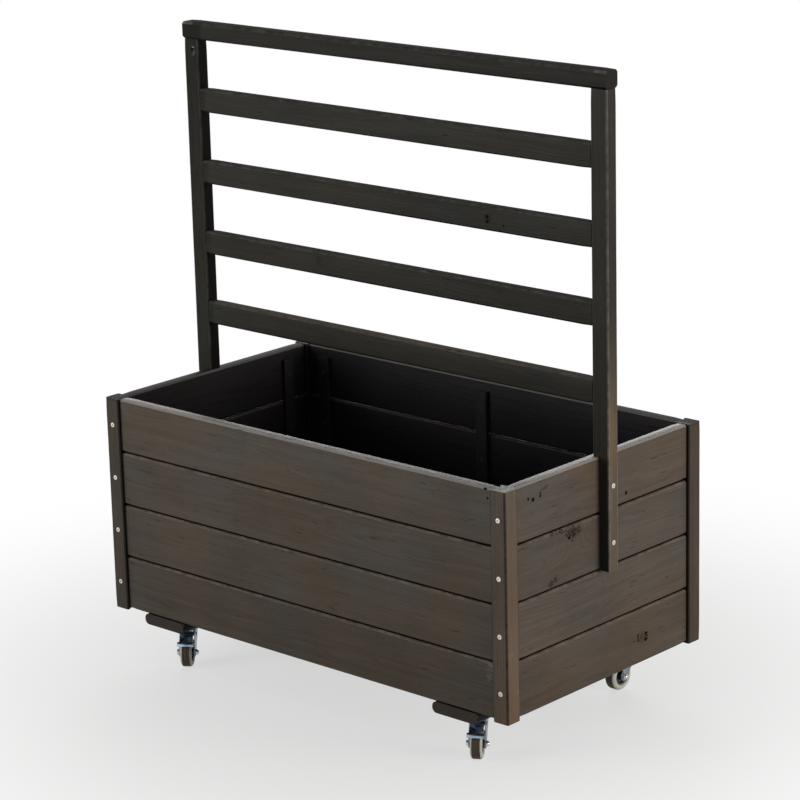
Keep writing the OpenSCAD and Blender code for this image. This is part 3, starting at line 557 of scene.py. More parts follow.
SPRUCE = stained_spruce(
    "dark_stained_spruce_boards", faded_and_lit=("#544d45", "#3e3832"), fresh_and_shaded=("#201e21", "#131214"),
    rubbed="#7a6f62", knot_tint="#3a221a", crack="#0d0a09", roughness=0.5, gloss=0.11,
    spots=[((0.445, 0.099, 0.136), 0.013), ((0.445, -0.079, 0.363), 0.012)],
    marks=[((0.445, y, z), size) for y, z, size in (
        (-0.188, 0.446, 0.0024), (-0.176, 0.441, 0.0038), (-0.159, 0.448, 0.0024),
        (-0.159, 0.443, 0.0024), (0.1095, 0.1400, 0.0035), (0.1108, 0.1350, 0.0022),
        (0.1080, 0.1300, 0.0038), (0.0880, 0.1440, 0.0018), (0.0872, 0.1405, 0.0020),
        (0.0874, 0.1365, 0.0020), (0.0886, 0.1325, 0.0018), (-0.132, 0.374, 0.0056),
        (-0.119, 0.373, 0.0056), (-0.107, 0.372, 0.0060), (-0.090, 0.365, 0.0090),
        (-0.078, 0.365, 0.0095), (-0.066, 0.365, 0.0080), (-0.088, 0.357, 0.0030),
        (-0.081, 0.350, 0.0020), (-0.124, 0.297, 0.0060), (-0.135, 0.292, 0.0060),
        (0.057, 0.395, 0.003))
    # The mark at the top corner of the front board by the right post is a painted shadow in the
    # notch between rim and post.
    ] + [((0.411, -0.245, 0.455), 0.0022), ((0.407, -0.245, 0.471), 0.0030)],
    chips=[((0.412, -0.245, 0.178), 0.020), ((0.408, -0.245, 0.162), 0.014)])

COURSES = (0.1395, 0.2345, 0.3295, 0.4245)
POST_X, POST_FACE, LONG_FACE, END_FACE, LAP_FACE = 0.435, 0.25, 0.245, 0.445, 0.465
BATTEN_X, BATTEN_Y, LONG_BATTEN, END_BATTEN = 0.378, 0.171, 0.217, 0.417
BEARER_X, BEARER_Y, BEARER_FOOT, BEARER_SCREW = 0.334, 0.235, 0.072, 0.0255
JOINT = 0.0009


# Where each screw's head lies and the way it looks, on the side of sx or sy.

def post_screw(sx, sy, z):
    return (sx * POST_X, sy * POST_FACE, z), (0, sy, 0)


def lap_screw(sx, z):
    return (sx * LAP_FACE, 0, z), (sx, 0, 0)


def long_wall_screw(k, sy, z):
    return (k * BATTEN_X, sy * LONG_BATTEN, z), (0, -sy, 0)


def end_wall_screw(sx, k, z):
    return (sx * END_BATTEN, k * BATTEN_Y, z), (-sx, 0, 0)


def bearer_screw(sx, sy, k):
    return (sx * BEARER_X + k * BEARER_SCREW, sy * BEARER_Y, BEARER_FOOT), (0, 0, -1)


# The courses' tones paint shade and light: the lower courses darker, and the end walls lighter than
# the long walls.
for number, (course, long_tone_and_shade, end_tone_and_light) in enumerate(
        zip(COURSES, (0.79, 0.92, 0.95, 1.02), (0.97, 1.08, 1.06, 1.11)), 1):
    gaps = (0.0 if number == 1 else JOINT, 0.0 if number == len(COURSES) else JOINT)
    for side, sy in (("front", -1), ("rear", 1)):
        cuts = [thin_hole(*long_wall_screw(k, sy, course)) for k in (-1, 0, 1)]
        if number == 1:
            cuts += [
                countersink(*bearer_screw(sx, sy, k), LONG_SCREW, above=0.001)
                for sx in (-1, 1) for k in (-1, 1)
            ]
        planed(f"{side}_board_{number}", "X", SPRUCE, 3.1 * number + (11.3 if sy > 0 else 0),
               trim=gaps, tone=long_tone_and_shade, cuts=cuts)
    for side, sx in (("left", -1), ("right", 1)):
        cuts = [long_hole(*post_screw(sx, sy, course)) for sy in (-1, 1)]
        cuts += [thin_hole(*end_wall_screw(sx, k, course)) for k in (-1, 1)]
        if number > 2:
            cuts.append(lap_hole(*lap_screw(sx, course)))
        planed(f"{side}_board_{number}", "Y", SPRUCE, 5.7 * number + (23.9 if sx > 0 else 0),
               trim=gaps, tone=end_tone_and_light, cuts=cuts)


# ---- Corner posts ----
# Four square spruce posts with rounded arrises. A groove down each houses the ends of the
# long boards, and one screw in each course goes through the post into the end wall.

POST_SPRUCE = stained_spruce(
    "dark_stained_spruce_posts", faded_and_lit=("#5c5247", "#403932"), fresh_and_shaded=("#1f1e1f", "#121112"),
    rubbed="#7d6b5b", arris_colour="#241f1a", knot_tint="#33241a", crack="#0d0a09",
    roughness=0.48, gloss=0.11, lit_end_tint=(1.37, 1.28, 1.18),
    chips=[((0.450, -0.240, 0.205), 0.012), ((0.450, -0.228, 0.140), 0.010)])

GROOVE, WALL, RUN_OUT = 0.004, 0.020, 0.01
ROUNDED = {"edge": 0.003, "edge_steps": 4, "softening": 0.0004}
# The posts' tones are partly painted shade: the rear right post darkest, the near front right one
# lightest.
for side, sx, sy, tone in (("front_left", -1, -1, 0.58), ("front_right", 1, -1, 0.95),
                           ("rear_left", -1, 1, 0.8), ("rear_right", 1, 1, 0.46)):
    low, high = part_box(f"post_{side}")
    inner_x = low.x if sx > 0 else high.x
    cuts = [box_mesh(
        (inner_x - sx * 0.002, sy * (LONG_FACE + HOLE_EASE), low.z - RUN_OUT),
        (inner_x + sx * GROOVE, sy * (LONG_FACE - WALL - HOLE_EASE), high.z + RUN_OUT))]
    cuts += [long_hole(*post_screw(sx, sy, z)) for z in COURSES]
    planed(f"post_{side}", "Z", POST_SPRUCE, 7.9 + 3 * sx + 1.7 * sy,
           tone=tone, cuts=cuts, **ROUNDED)


# ---- Battens inside the walls ----
# Thin planed strips that tie the four courses together: three on each long wall and two on
# each end wall, with a small screw into every board.

BATTEN_HALF_T, BATTEN_HALF_W = 0.004, 0.012


def batten_mesh(x, y, half_x, half_y, way, low_z, high_z, seed):
    """One batten with its four countersunk holes, whose screws look along way."""
    face = Vector((x, y, 0)) + Vector(way) * (half_x if way[0] else half_y)
    cuts = [thin_hole((face.x, face.y, course), way) for course in COURSES]
    return timber((x - half_x, y - half_y, low_z), (x + half_x, y + half_y, high_z), "Z", SPRUCE,
                  seed, edge=0.0008, softening=0.0002, wander=0.0003, tone=1.5, cuts=cuts)


low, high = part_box("long_wall_battens")
mesh = joined([
    batten_mesh(k * BATTEN_X, sy * (LONG_BATTEN + BATTEN_HALF_T), BATTEN_HALF_W, BATTEN_HALF_T,
                (0, -sy, 0), low.z, high.z, 31 + 5 * k + 2 * sy)
    for k in (-1, 0, 1) for sy in (-1, 1)
])
piece("long_wall_battens_planed", mesh, "root", ["long_wall_battens"])
mesh = joined([
    batten_mesh(sx * (END_BATTEN + BATTEN_HALF_T), k * BATTEN_Y, BATTEN_HALF_T, BATTEN_HALF_W,
                (-sx, 0, 0), low.z, high.z, 57 + 5 * k + 2 * sx)
    for sx in (-1, 1) for k in (-1, 1)
])
piece("end_wall_battens_planed", mesh, "root", ["end_wall_battens"])


# ---- Floor boards and bearers ----
# Four spruce boards lie with gaps between them on two flat bearers, which run from front to
# back under the walls. The bearers' long edges are planed to a bullnose.

FLOOR_OFFSET = 0.0295
floor_middles = []
for number in range(1, 5):
    low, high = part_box(f"floor_board_{number}")
    middle = (low.y + high.y) / 2
    floor_middles.append(middle)
    cuts = [
        countersink((sx * BEARER_X, middle + k * FLOOR_OFFSET, high.z), (0, 0, 1),
                    FLOOR_SCREW + HOLE_EASE)
        for sx in (-1, 1) for k in (-1, 1)
    ]
    planed(f"floor_board_{number}", "X", SPRUCE, 71 + 3.3 * number, tone=0.95, cuts=cuts)

for side, sx in (("left", -1), ("right", 1)):
    cuts = [long_hole(*bearer_screw(sx, sy, k)) for sy in (-1, 1) for k in (-1, 1)]
    planed(f"bearer_{side}", "Y", SPRUCE, 93 + 4.1 * sx, edge=0.009, edge_steps=7,
           softening=0.0003, tone=0.58, cuts=cuts)


# ---- Trellis ----
# Two uprights are notched over the end walls and screwed to them from outside. Four slats
# are tenoned between them and a rail caps them. The spruce is stained almost black.

BLACK_SPRUCE = stained_spruce(
    "black_stained_spruce_trellis", faded_and_lit=("#665c4f", "#484037"), fresh_and_shaded=("#32312c", "#23211e"),
    rubbed="#8f8e8c", knot_tint="#17100d", crack="#070606", roughness=0.46, gloss=0.07,
    spots=[((0.221, -0.012, 0.829), 0.010)], lit_end_tint=(1.1, 1.1, 1.1), inner_side_shade=0.15,
    marks=[((0.219, -0.012, 0.832), 0.0032), ((0.220, -0.012, 0.824), 0.0026),
           ((0.254, -0.012, 0.822), 0.0016), ((-0.116, -0.012, 0.812), 0.0016)])

RIM_Z, RAIL_Z = 0.472, 1.061
TOE_Z, TOE_SLOPE, TOE_SINK, TOE_SIDE = 1.041, math.radians(60), 0.005, 0.4435
TOE_HOLE = TOE_SCREW + 0.002
MORTISE_FRONT, MORTISE_BACK, MORTISE_INSET, MORTISE_MOUTH = -0.0072, 0.0032, 0.0058, 0.42
slat_boxes = [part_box(f"slat_{number}") for number in range(1, 5)]
toe_heads = []
# The notch's cutter runs well past the timber. The slats' tenons sit in blind mortises, and
# a sunk screw slopes up out of each upright into the rail.
for side, sx in (("left", -1), ("right", 1)):
    low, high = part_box(f"upright_{side}")
    high.z = RAIL_Z
    notch = box_mesh((sx * END_FACE, -0.1, 0.1), (sx * (END_FACE - 0.1), 0.1, RIM_Z))
    cuts = [notch] + [lap_hole(*lap_screw(sx, z)) for z in COURSES[2:]]
    toe_way = Vector((0, sx * math.cos(TOE_SLOPE), -math.sin(TOE_SLOPE)))
    toe = Vector((sx * TOE_SIDE, high.y if sx > 0 else low.y, TOE_Z)) - toe_way * TOE_SINK
    toe_heads.append((tuple(toe), tuple(toe_way)))
    cuts.append(countersink(toe, toe_way, TOE_HOLE, above=TOE_SINK + 0.009))
    cuts += [
        box_mesh(
            (slat_high.x if sx > 0 else slat_low.x, MORTISE_FRONT, slat_low.z + MORTISE_INSET),
            (sx * MORTISE_MOUTH, MORTISE_BACK, slat_high.z - MORTISE_INSET))
        for slat_low, slat_high in slat_boxes
    ]
    mesh = timber(low, high, "Z", BLACK_SPRUCE, 113 + 6.1 * sx, tone=0.95, cuts=cuts, **ROUNDED)
    piece(f"upright_{side}_planed", mesh, "root", [f"upright_{side}"])

SHOULDER = 0.432
for number, (low, high) in enumerate(slat_boxes, 1):
    low.x, high.x = -SHOULDER, SHOULDER
    mesh = timber(low, high, "X", BLACK_SPRUCE, 131 + 3.9 * number)
    piece(f"slat_{number}_planed", mesh, "root", [f"slat_{number}"])

planed("top_rail", "X", BLACK_SPRUCE, 157.3, "trellis_wood", edge=0.004, tone=0.62,
       cuts=[countersink(toe, toe_way, TOE_HOLE, above=0) for toe, toe_way in toe_heads])


# ---- Screws ----
# Zinc-plated countersunk wood screws with a cross recess, driven flush with the wood. Each
# kind is turned once and then set at every hole, at a slightly different turn.

def fastener_tree():
    """Sets a fastener at each vertex of the base mesh, looking along the vertex's way."""
    tree, given = new_tree("Set of fasteners", {
        "Fastener": "Object", "Seed": "Int", "Finish": "Material"})
    put = partial(add, tree)
    fastener = put("GeometryNodeObjectInfo", {"Object": given["Fastener"]}, out="Geometry")
    way = put("GeometryNodeInputNamedAttribute", {"Name": "way"}, data_type="FLOAT_VECTOR")
    upright = put("FunctionNodeAlignRotationToVector", {"Vector": way}, axis="Z")
    turn = put("FunctionNodeRandomValue", {
        2: 0.0, 3: math.tau, "Seed": given["Seed"]}, out=1, data_type="FLOAT")
    about = put("ShaderNodeCombineXYZ", {2: turn})
    spun = put("FunctionNodeRotateRotation", {0: upright, 1: about}, rotation_space="LOCAL")
    dots = put("GeometryNodeMeshToPoints", {0: given["Geometry"]})
    placed = put("GeometryNodeInstanceOnPoints", {
        "Points": dots, "Instance": fastener, "Rotation": spun})
    real = put("GeometryNodeRealizeInstances", {"Geometry": placed})
    finished = put("GeometryNodeSetMaterial", {"Geometry": real, "Material": given["Finish"]})
    put("NodeGroupOutput", {0: finished}, out=None)
    return tree


FASTENERS = fastener_tree()


def set_out(fastener, places, seed, material):
    """One mesh of the fastener at each place, a pair of a point and the way it looks."""
    base = bpy.data.meshes.new("places")
    base.from_pydata([at for at, way in places], [], [])
    ways = base.attributes.new("way", "FLOAT_VECTOR", "POINT")
    for k, (at, way) in enumerate(places):
        ways.data[k].vector = way
    master = bpy.data.objects.new("master", fastener)
    bpy.context.scene.collection.objects.link(master)
    mesh = grow(FASTENERS, base, {"Fastener": master, "Seed": seed, "Finish": material})
    bpy.data.objects.remove(master)
    return mesh


def recessed(profile, reach, wing, depth, count=24):
    """A turned fastener with a cross recess cut down from the top of its head."""
    blank = lathe(profile, count)
    top = max(v.co.z for v in blank.vertices)
    tree, given = new_tree("Cross recess", {})
    put = partial(add, tree)
    shape = given[0]
    for size in ((reach, wing, depth * 2), (wing, reach, depth * 2)):
        arm = put("GeometryNodeMeshCube", {0: size})
        arm = put("GeometryNodeTransform", {"Geometry": arm, "Translation": (0, 0, top)})
        shape = put("GeometryNodeMeshBoolean", {0: shape, 1: arm},
                    operation="DIFFERENCE", solver="MANIFOLD")
    put("NodeGroupOutput", {0: shape}, out=None)
    return grow(tree, blank, {})


def plated_steel(name, colour, tint, roughness, grain_mm):
    """Steel with a bright zinc plating. The eye sees a soft, slightly uneven mirror with a
    faint bluish or yellowish cast in patches, fine scratches and duller dimples."""
    material, tree, shader = blank_material(name)
    put = partial(add, tree)
    where = put("ShaderNodeTexCoord", out="Object")
    patches, fine, dents = (
        put("ShaderNodeTexNoise", {"Vector": where, "Scale": scale, "Detail": detail}, out="Fac")
        for scale, detail in ((90.0, 4.0), (1000 / grain_mm, 3.0), (260.0, 2.0)))
    patches = put("ShaderNodeMapRange", {"Value": patches, "From Min": 0.35, "From Max": 0.65})
    cast = put("ShaderNodeMix", {
        0: patches, 6: linear(colour), 7: linear(tint)}, data_type="RGBA", out=2)
    rough = put("ShaderNodeMath", {
        0: fine, 1: 0.16, 2: roughness - 0.08}, operation="MULTIPLY_ADD")
    rough = put("ShaderNodeMath", {0: patches, 1: 0.08, 2: rough}, operation="MULTIPLY_ADD")
    height = put("ShaderNodeMath", {0: dents, 1: 1.5, 2: fine}, operation="MULTIPLY_ADD")
    bump = put("ShaderNodeBump", {"Height": height, "Strength": 0.35, "Distance": 0.0001})
    feed(tree, shader, {"Base Color": cast, "Roughness": rough, "Normal": bump, "Metallic": 1.0})
    return material


SCREW_ZINC = plated_steel("zinc_plated_screw_steel", "#d9d2cd", "#b9b4b4", 0.34, 0.5)
# The screws inside the box are drawn in a darker, duller zinc.
DULL_ZINC = plated_steel("dark_inner_screw_steel", "#4c4946", "#34322f", 0.5, 0.5)
HEAD_PROUD = 0.00005


def wood_screw(length, tip=0.004):
    """A countersunk screw whose head stands a hair proud, so that it covers its hole."""
    return recessed([
        (0, HEAD_PROUD), (HEAD_R - 0.0004, HEAD_PROUD), (HEAD_R, -0.0003), (SHANK_R, -HEAD_H),
        (SHANK_R, tip - length), (0, -length)], reach=0.0046, wing=0.0011, depth=0.0019)


thin_screw = recessed([
    (0, HEAD_PROUD), (THIN_HEAD_R - 0.0003, HEAD_PROUD), (THIN_HEAD_R, -0.0003),
    (THIN_SHANK_R, -THIN_HEAD_H), (THIN_SHANK_R, 0.003 - THIN_SCREW), (0, -THIN_SCREW)],
    reach=0.0036, wing=0.0009, depth=0.0014, count=20)

posts = [post_screw(sx, sy, z) for sx in (-1, 1) for sy in (-1, 1) for z in COURSES]
bearers = [bearer_screw(sx, sy, k) for sx in (-1, 1) for sy in (-1, 1) for k in (-1, 1)]
mesh = set_out(wood_screw(LONG_SCREW, 0.005), posts + bearers, 3, SCREW_ZINC)
piece("frame_screws_driven", mesh, "root", ["frame_screws"])

laps = [lap_screw(sx, z) for sx in (-1, 1) for z in COURSES[2:]]
mesh = joined([
    set_out(wood_screw(LAP_SCREW), laps, 5, SCREW_ZINC),
    set_out(wood_screw(TOE_SCREW), toe_heads, 7, SCREW_ZINC)])
piece("trellis_screws_driven", mesh, "root", ["trellis_screws"])

battens = [long_wall_screw(k, sy, z) for k in (-1, 0, 1) for sy in (-1, 1) for z in COURSES]
battens += [end_wall_screw(sx, k, z) for sx in (-1, 1) for k in (-1, 1) for z in COURSES]
floors = [
    ((sx * BEARER_X, y + k * FLOOR_OFFSET, 0.112), (0, 0, 1))
    for sx in (-1, 1) for y in floor_middles for k in (-1, 1)
]
mesh = joined([
    set_out(thin_screw, battens, 11, DULL_ZINC),
    set_out(wood_screw(FLOOR_SCREW), floors, 13, DULL_ZINC)])
piece("inner_screws_driven", mesh, "root", ["inner_screws"])


# ---- Castor plates, kingpins and balls ----
# Square plates of pressed steel, screwed up into the bearers with four pan-head screws each.
# A riveted kingpin holds the fork to each, with a ring of hardened balls between.

SHEET_ZINC = plated_steel("zinc_plated_pressed_steel", "#96a1a7", "#5a666e", 0.28, 0.8)
BEARING = plated_steel("ground_bearing_steel", "#c9ccce", "#b4b6b8", 0.2, 0.3)
CASTORS = {
    "front_left": (-1, -1, -53), "front_right": (1, -1, -57),
    "rear_left": (-1, 1, -112), "rear_right": (1, 1, -90),
}
CASTOR_SHIFT, CASTOR_Y, HOLE_PITCH, PLATE_FOOT = 0.006, 0.192, 0.022, 0.0695
SHEARED_EASE = 0.0003


def smooth(mesh, angle=32):
    """Smooth faces with the edges kept sharp that bend by more than the angle."""
    mesh.shade_smooth()
    mesh.set_sharp_from_angle(angle=math.radians(angle))
    return mesh


def tumbled(node, body, material):
    """Shows a pressed part as it leaves the barrel, its sheared edges rounded a little."""
    sheet = bmesh.new()
    sheet.from_mesh(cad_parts[node].data)
    bmesh.ops.remove_doubles(sheet, verts=sheet.verts, dist=1e-6)
    bmesh.ops.dissolve_limit(
        sheet, angle_limit=math.radians(0.5), verts=sheet.verts, edges=sheet.edges)
    sheared = [
        e for e in sheet.edges if e.is_manifold and e.calc_face_angle() > math.radians(50)]
    bmesh.ops.bevel(sheet, geom=sheared, offset=SHEARED_EASE, segments=2, profile=0.5,
                    affect="EDGES", clamp_overlap=True)
    bmesh.ops.triangulate(sheet, faces=[f for f in sheet.faces if len(f.verts) > 4])
    bmesh.ops.recalc_face_normals(sheet, faces=sheet.faces)
    mesh = taken(sheet, "tumbled")
    mesh.materials.append(material)
    piece(node + "_tumbled", smooth(mesh, 40), body, [node])


tumbled("castor_plates", "root", SHEET_ZINC)
for node in ("kingpins", "castor_balls"):
    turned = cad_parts[node].data
    turned.materials.clear()
    turned.materials.append(BEARING)

pan_screw = recessed([
    (0, 0.0023), (0.0022, 0.0022), (0.0034, 0.0018), (0.0040, 0.0011), (0.00425, 0.0003),
    (0.00425, 0), (0.00225, 0), (0.00225, -0.013), (0, -0.016)],
    reach=0.0044, wing=0.0011, depth=0.0017)
places = [
    ((sx * BEARER_X + CASTOR_SHIFT + kx * HOLE_PITCH, sy * CASTOR_Y + ky * HOLE_PITCH, PLATE_FOOT),
     (0, 0, -1))
    for sx, sy, heading in CASTORS.values() for kx in (-1, 1) for ky in (-1, 1)
]
mesh = set_out(pan_screw, places, 17, SCREW_ZINC)
piece("castor_screws_driven", mesh, "root", ["castor_screws"])


# ---- Forks ----
# Pressed from 2 mm steel sheet and zinc plated: a dished head for the balls, and two legs
# that taper to round ends at the axle.

for side in CASTORS:
    tumbled(f"fork_{side}", f"swivel_{side}", SHEET_ZINC)


# ---- Axles, wheels and tyres ----
# A bolt with a hexagon head and a domed nut carries each moulded black nylon hub, with a
# grey rubber tyre round it. The tread is worn and picks up dirt, the sides stay paler.

TRAIL, WHEEL_R, HUB_R = 0.025, 0.025, 0.016


def laid_down(side):
    """The turn and shift that bring a part turned round Z onto the axle of a castor."""
    sx, sy, heading = CASTORS[side]
    kingpin = Matrix.Translation((sx * BEARER_X + CASTOR_SHIFT, sy * CASTOR_Y, 0))
    axle = Matrix.Translation((TRAIL, 0, WHEEL_R)) @ Matrix.Rotation(math.radians(90), 4, "X")
    return kingpin @ Matrix.Rotation(math.radians(heading), 4, "Z") @ axle


def own_coordinates(mesh, name):
    """Keeps the mesh's coordinates before it is placed, for patterns that go with it."""
    kept = mesh.attributes.new(name, "FLOAT_VECTOR", "POINT")
    for k, vertex in enumerate(mesh.vertices):
        kept.data[k].vector = vertex.co
    return mesh


def tyre_profile():
    """Section of the tyre from one bead to the other, as radius and place along the axle."""
    half, shoulder = 0.010, 0.005
    side = [
        (HUB_R + 0.00005, 0.0088), (0.0166, 0.0098), (0.0174, 0.0100), (0.0183, 0.0097),
        (0.0190, 0.0100)]
    for k in range(9):
        turn = math.radians(11.25 * k)
        side.append((WHEEL_R - shoulder + shoulder * math.sin(turn),
                     half - shoulder + shoulder * math.cos(turn)))
    side += [(WHEEL_R, 0.0034), (WHEEL_R - 0.00025, 0.0030), (WHEEL_R, 0.0026)]
    return side + [(r, -y) for r, y in reversed(side)]


def hub_profile():
    """Section of the hub, from its bore round the boss, web and rim and back."""
    one = [
        (0.00305, 0.0117), (0.0060, 0.0117), (0.0065, 0.0112), (0.0066, 0.0052),
        (0.0072, 0.0036), (0.0082, 0.0030), (0.0112, 0.0030), (0.0122, 0.0034),
        (0.0129, 0.0044), (0.0131, 0.0074), (0.0136, 0.0080), (0.0155, 0.0080),
        (0.0160, 0.0075),
    ]
    return one + [(r, -y) for r, y in reversed(one)]


def wheel_rubber():
    """Grey vulcanised rubber. Matt, with a fine moulded skin, pale sides and a dull brown
    tread, whose dirt ends in a ragged line."""
    material, tree, shader = blank_material("grey_rubber_moulded")
    put = partial(add, tree)
    own = put("ShaderNodeAttribute", out="Vector", attribute_name="wheel")
    dirt, skin = (
        put("ShaderNodeTexNoise", {"Vector": own, "Scale": scale, "Detail": detail}, out="Fac")
        for scale, detail in ((300.0, 5.0), (1800.0, 2.0)))
    ring = put("ShaderNodeVectorMath", {0: own, 1: (1, 1, 0)}, operation="MULTIPLY")
    radius = put("ShaderNodeVectorMath", {0: ring}, operation="LENGTH", out="Value")
    edge = put("ShaderNodeMath", {0: dirt, 1: 0.0004, 2: radius}, operation="MULTIPLY_ADD")
    tread = put("ShaderNodeMapRange", {"Value": edge, "From Min": 0.02465, "From Max": 0.02495})
    tread = put("ShaderNodeMath", {0: tread, 1: 0.97}, operation="MULTIPLY")
    clean, worn = (
        put("ShaderNodeMix", {0: dirt, 6: linear(pale), 7: linear(deep)}, data_type="RGBA", out=2)
        for pale, deep in (("#c6c9c1", "#a9aca2"), ("#4a392d", "#2e241d")))
    colour = put("ShaderNodeMix", {0: tread, 6: clean, 7: worn}, data_type="RGBA", out=2)
    rough = put("ShaderNodeMath", {0: dirt, 1: 0.25, 2: 0.5}, operation="MULTIPLY_ADD")
    bump = put("ShaderNodeBump", {"Height": skin, "Strength": 0.3, "Distance": 0.0001})
    feed(tree, shader, {"Base Color": colour, "Roughness": rough, "Normal": bump,
                        "Specular IOR Level": 0.2})
    return material


def hub_nylon():
    """Black nylon, moulded with a fine spark texture. Satin, with rubbed, paler ridges."""
    material, tree, shader = blank_material("black_nylon_moulded")
    put = partial(add, tree)
    own = put("ShaderNodeAttribute", out="Vector", attribute_name="wheel")
    scuff, grain = (
        put("ShaderNodeTexNoise", {"Vector": own, "Scale": scale, "Detail": detail}, out="Fac")
        for scale, detail in ((220.0, 5.0), (2500.0, 1.0)))
    colour = put("ShaderNodeMix", {
        0: scuff, 6: linear("#151517"), 7: linear("#26262a")}, data_type="RGBA", out=2)
    rough = put("ShaderNodeMath", {0: scuff, 1: 0.2, 2: 0.34}, operation="MULTIPLY_ADD")
    bump = put("ShaderNodeBump", {"Height": grain, "Strength": 0.25, "Distance": 0.0001})
    feed(tree, shader, {"Base Color": colour, "Roughness": rough, "Normal": bump, "IOR": 1.53})
    return material


def hexagon(radius, low, high, ease):
    """A hexagon nut or head, its corners chamfered at both ends."""
    head = bmesh.new()
    bmesh.ops.create_cone(
        head, cap_ends=True, segments=6, radius1=radius, radius2=radius, depth=high - low)
    bmesh.ops.translate(head, verts=head.verts, vec=(0, 0, (low + high) / 2))
    rims = [e for e in head.edges if abs(e.verts[0].co.z - e.verts[1].co.z) < 1e-7]
    bmesh.ops.bevel(head, geom=rims, offset=ease, segments=2, affect="EDGES", profile=0.6)
    return taken(head, "hexagon")


FORK_HALF, BOLT_HEAD, NUT, SUNK = 0.014, 0.004, 0.0065, 0.001
AXLE_R, CORNER_R = 0.003, 0.0055
dome_r = CORNER_R * math.cos(math.radians(30))
nut_top, nut_middle = -FORK_HALF - NUT, -FORK_HALF - NUT / 2
dome = [(0, nut_middle + SUNK), (dome_r, nut_middle + SUNK)] + [
    (dome_r * math.sin(math.radians(a)), nut_top + CORNER_R * (1 - math.cos(math.radians(a))))
    for a in range(60, -1, -10)
]
bolt_mesh = joined([
    lathe([(0, FORK_HALF + SUNK), (AXLE_R, FORK_HALF + SUNK),
           (AXLE_R, -FORK_HALF - SUNK), (0, -FORK_HALF - SUNK)]),
    hexagon(CORNER_R, FORK_HALF, FORK_HALF + BOLT_HEAD, 0.0005),
    hexagon(CORNER_R, nut_middle, -FORK_HALF, 0.0004),
    lathe(dome, 32),
])
tyre_mesh = own_coordinates(lathe(tyre_profile(), 96, closed=True), "wheel")
hub_mesh = own_coordinates(lathe(hub_profile(), 72, closed=True), "wheel")
WHEEL_SET = (
    ("tyre", tyre_mesh, "roll", "grey_tyre", wheel_rubber()),
    ("wheel", hub_mesh, "roll", "black_hub", hub_nylon()),
    ("axle", bolt_mesh, "swivel", "zinc_bolt",
     plated_steel("zinc_plated_bolt_steel", "#d3d6d8", "#bcbcba", 0.26, 0.4)),
)
for side in CASTORS:
    for name, master, joint, slot_name, material in WHEEL_SET:
        mesh = master.copy()
        mesh.transform(laid_down(side))
        mesh.materials.append(material)
        piece(f"{name}_{side}_finished", smooth(mesh), f"{joint}_{side}", [f"{name}_{side}"])


# ---- Toe brakes ----
# Pressed levers on the two front castors, pivoted between the legs of the fork. The step
# takes the toe, and the shoe under it bears on the tyre.

PEDAL_ZINC = plated_steel("zinc_plated_brake_steel", "#a9b8c2", "#74869a", 0.22, 0.6)
for side in ("front_left", "front_right"):
    tumbled(f"brake_pedal_{side}", f"brake_{side}", PEDAL_ZINC)


# ---- Floor, light and camera ----
# A plain pale floor under plain soft light, seen from where the photograph was taken. What
# the camera and mirrors see of the floor far off, and of the world, is plain white.

def straight_rays(put):
    """One for rays from the camera and for those off or through shiny things, or else zero."""
    path = put("ShaderNodeLightPath", out=None)
    seen = put("ShaderNodeMath", {
        0: path["Is Camera Ray"], 1: path["Is Glossy Ray"]}, operation="MAXIMUM")
    return put("ShaderNodeMath", {
        0: seen, 1: path["Is Transmission Ray"]}, operation="MAXIMUM")


WHITE = (1, 1, 1, 1)
world = bpy.data.worlds.new("studio")
bpy.context.scene.world = world
world.use_nodes = True
world.node_tree.nodes.clear()
put = partial(add, world.node_tree)
strength = put("ShaderNodeMapRange", {"Value": straight_rays(put), "To Min": 0.25, "To Max": 1.0})
sky = put("ShaderNodeBackground", {"Color": WHITE, "Strength": strength})
put("ShaderNodeOutputWorld", {0: sky}, out=None)

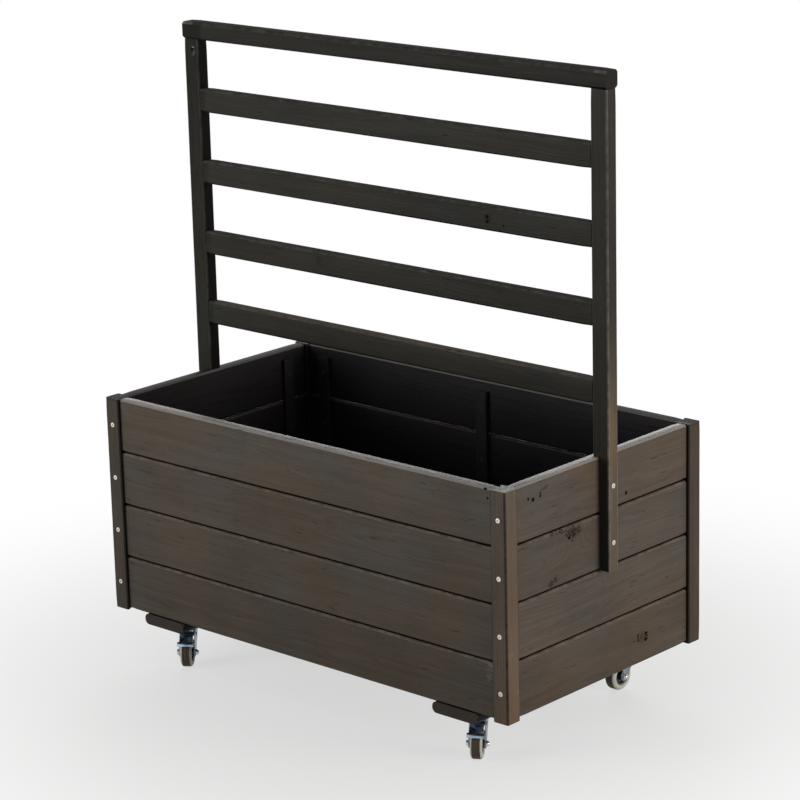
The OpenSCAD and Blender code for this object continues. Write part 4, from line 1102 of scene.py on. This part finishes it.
FLOOR_HALF = 20.0
floor_mesh = bpy.data.meshes.new("floor")
floor_mesh.from_pydata(
    [(-FLOOR_HALF, -FLOOR_HALF, 0), (FLOOR_HALF, -FLOOR_HALF, 0),
     (FLOOR_HALF, FLOOR_HALF, 0), (-FLOOR_HALF, FLOOR_HALF, 0)], [], [(0, 1, 2, 3)])
floor = bpy.data.objects.new("floor", floor_mesh)
bpy.context.scene.collection.objects.link(floor)
paper, tree, shader = blank_material("pale_matt_floor")
feed(tree, shader, {"Base Color": linear("#dedede"), "Roughness": 0.9, "Specular IOR Level": 0.1})
put = partial(add, tree)
where = put("ShaderNodeTexCoord", out="Object")
away = put("ShaderNodeVectorMath", {0: where}, operation="LENGTH", out="Value")
share = put("ShaderNodeMapRange", {
    "Value": away, "From Min": 0.3, "From Max": 1.3, "To Min": 0.6, "To Max": 1.0,
}, interpolation_type="SMOOTHSTEP")
share = put("ShaderNodeMath", {0: share, 1: straight_rays(put)}, operation="MULTIPLY")
white = put("ShaderNodeEmission", {"Color": WHITE, "Strength": 1.0})
mixed = put("ShaderNodeMixShader", {0: share, 1: shader.outputs[0], 2: white})
feed(tree, tree.nodes["Material Output"], {"Surface": mixed})
floor_mesh.materials.append(paper)
floor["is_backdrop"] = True

LIT = Vector((0, 0, 0.4))
for name, at, size, power, colour in (
        ("key_front", (-2.2, -3.6, 1.1), 1.8, 80, "#fffdf8"),
        ("key_end", (3.6, 0.9, 0.8), 1.4, 76, "#fff4ea"),
        ("rim_back", (-2.6, 2.9, 1.5), 2.2, 90, "#fbfbfa")):
    lamp = bpy.data.lights.new(name, "AREA")
    lamp.shape = "SQUARE"
    lamp.size = size
    lamp.energy = power
    lamp.color = linear(colour)[:3]
    light = bpy.data.objects.new(name, lamp)
    light.location = at
    light.rotation_mode = "QUATERNION"
    light.rotation_quaternion = (Vector(at) - LIT).to_track_quat("Z", "Y")
    bpy.context.scene.collection.objects.link(light)

AZIMUTH, ELEVATION, ROLL = (math.radians(a) for a in (42.48, 15.71, -1.45))
back = Vector((math.sin(AZIMUTH) * math.cos(ELEVATION), -math.cos(AZIMUTH) * math.cos(ELEVATION),
               math.sin(ELEVATION)))
level = Vector((math.cos(AZIMUTH), math.sin(AZIMUTH), 0))
over = back.cross(level)
right = level * math.cos(ROLL) + over * math.sin(ROLL)
up = over * math.cos(ROLL) - level * math.sin(ROLL)
lens = bpy.data.cameras.new("camera")
lens.lens = 135.27
lens.sensor_width = 36
camera = bpy.data.objects.new("camera", lens)
camera.rotation_mode = "QUATERNION"
camera.rotation_quaternion = Matrix((right, up, back)).transposed().to_quaternion()
camera.location = (3.295, -3.588, 1.857)
bpy.context.scene.collection.objects.link(camera)
bpy.context.scene.camera = camera
bpy.context.scene.view_settings.view_transform = "Standard"

low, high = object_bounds()
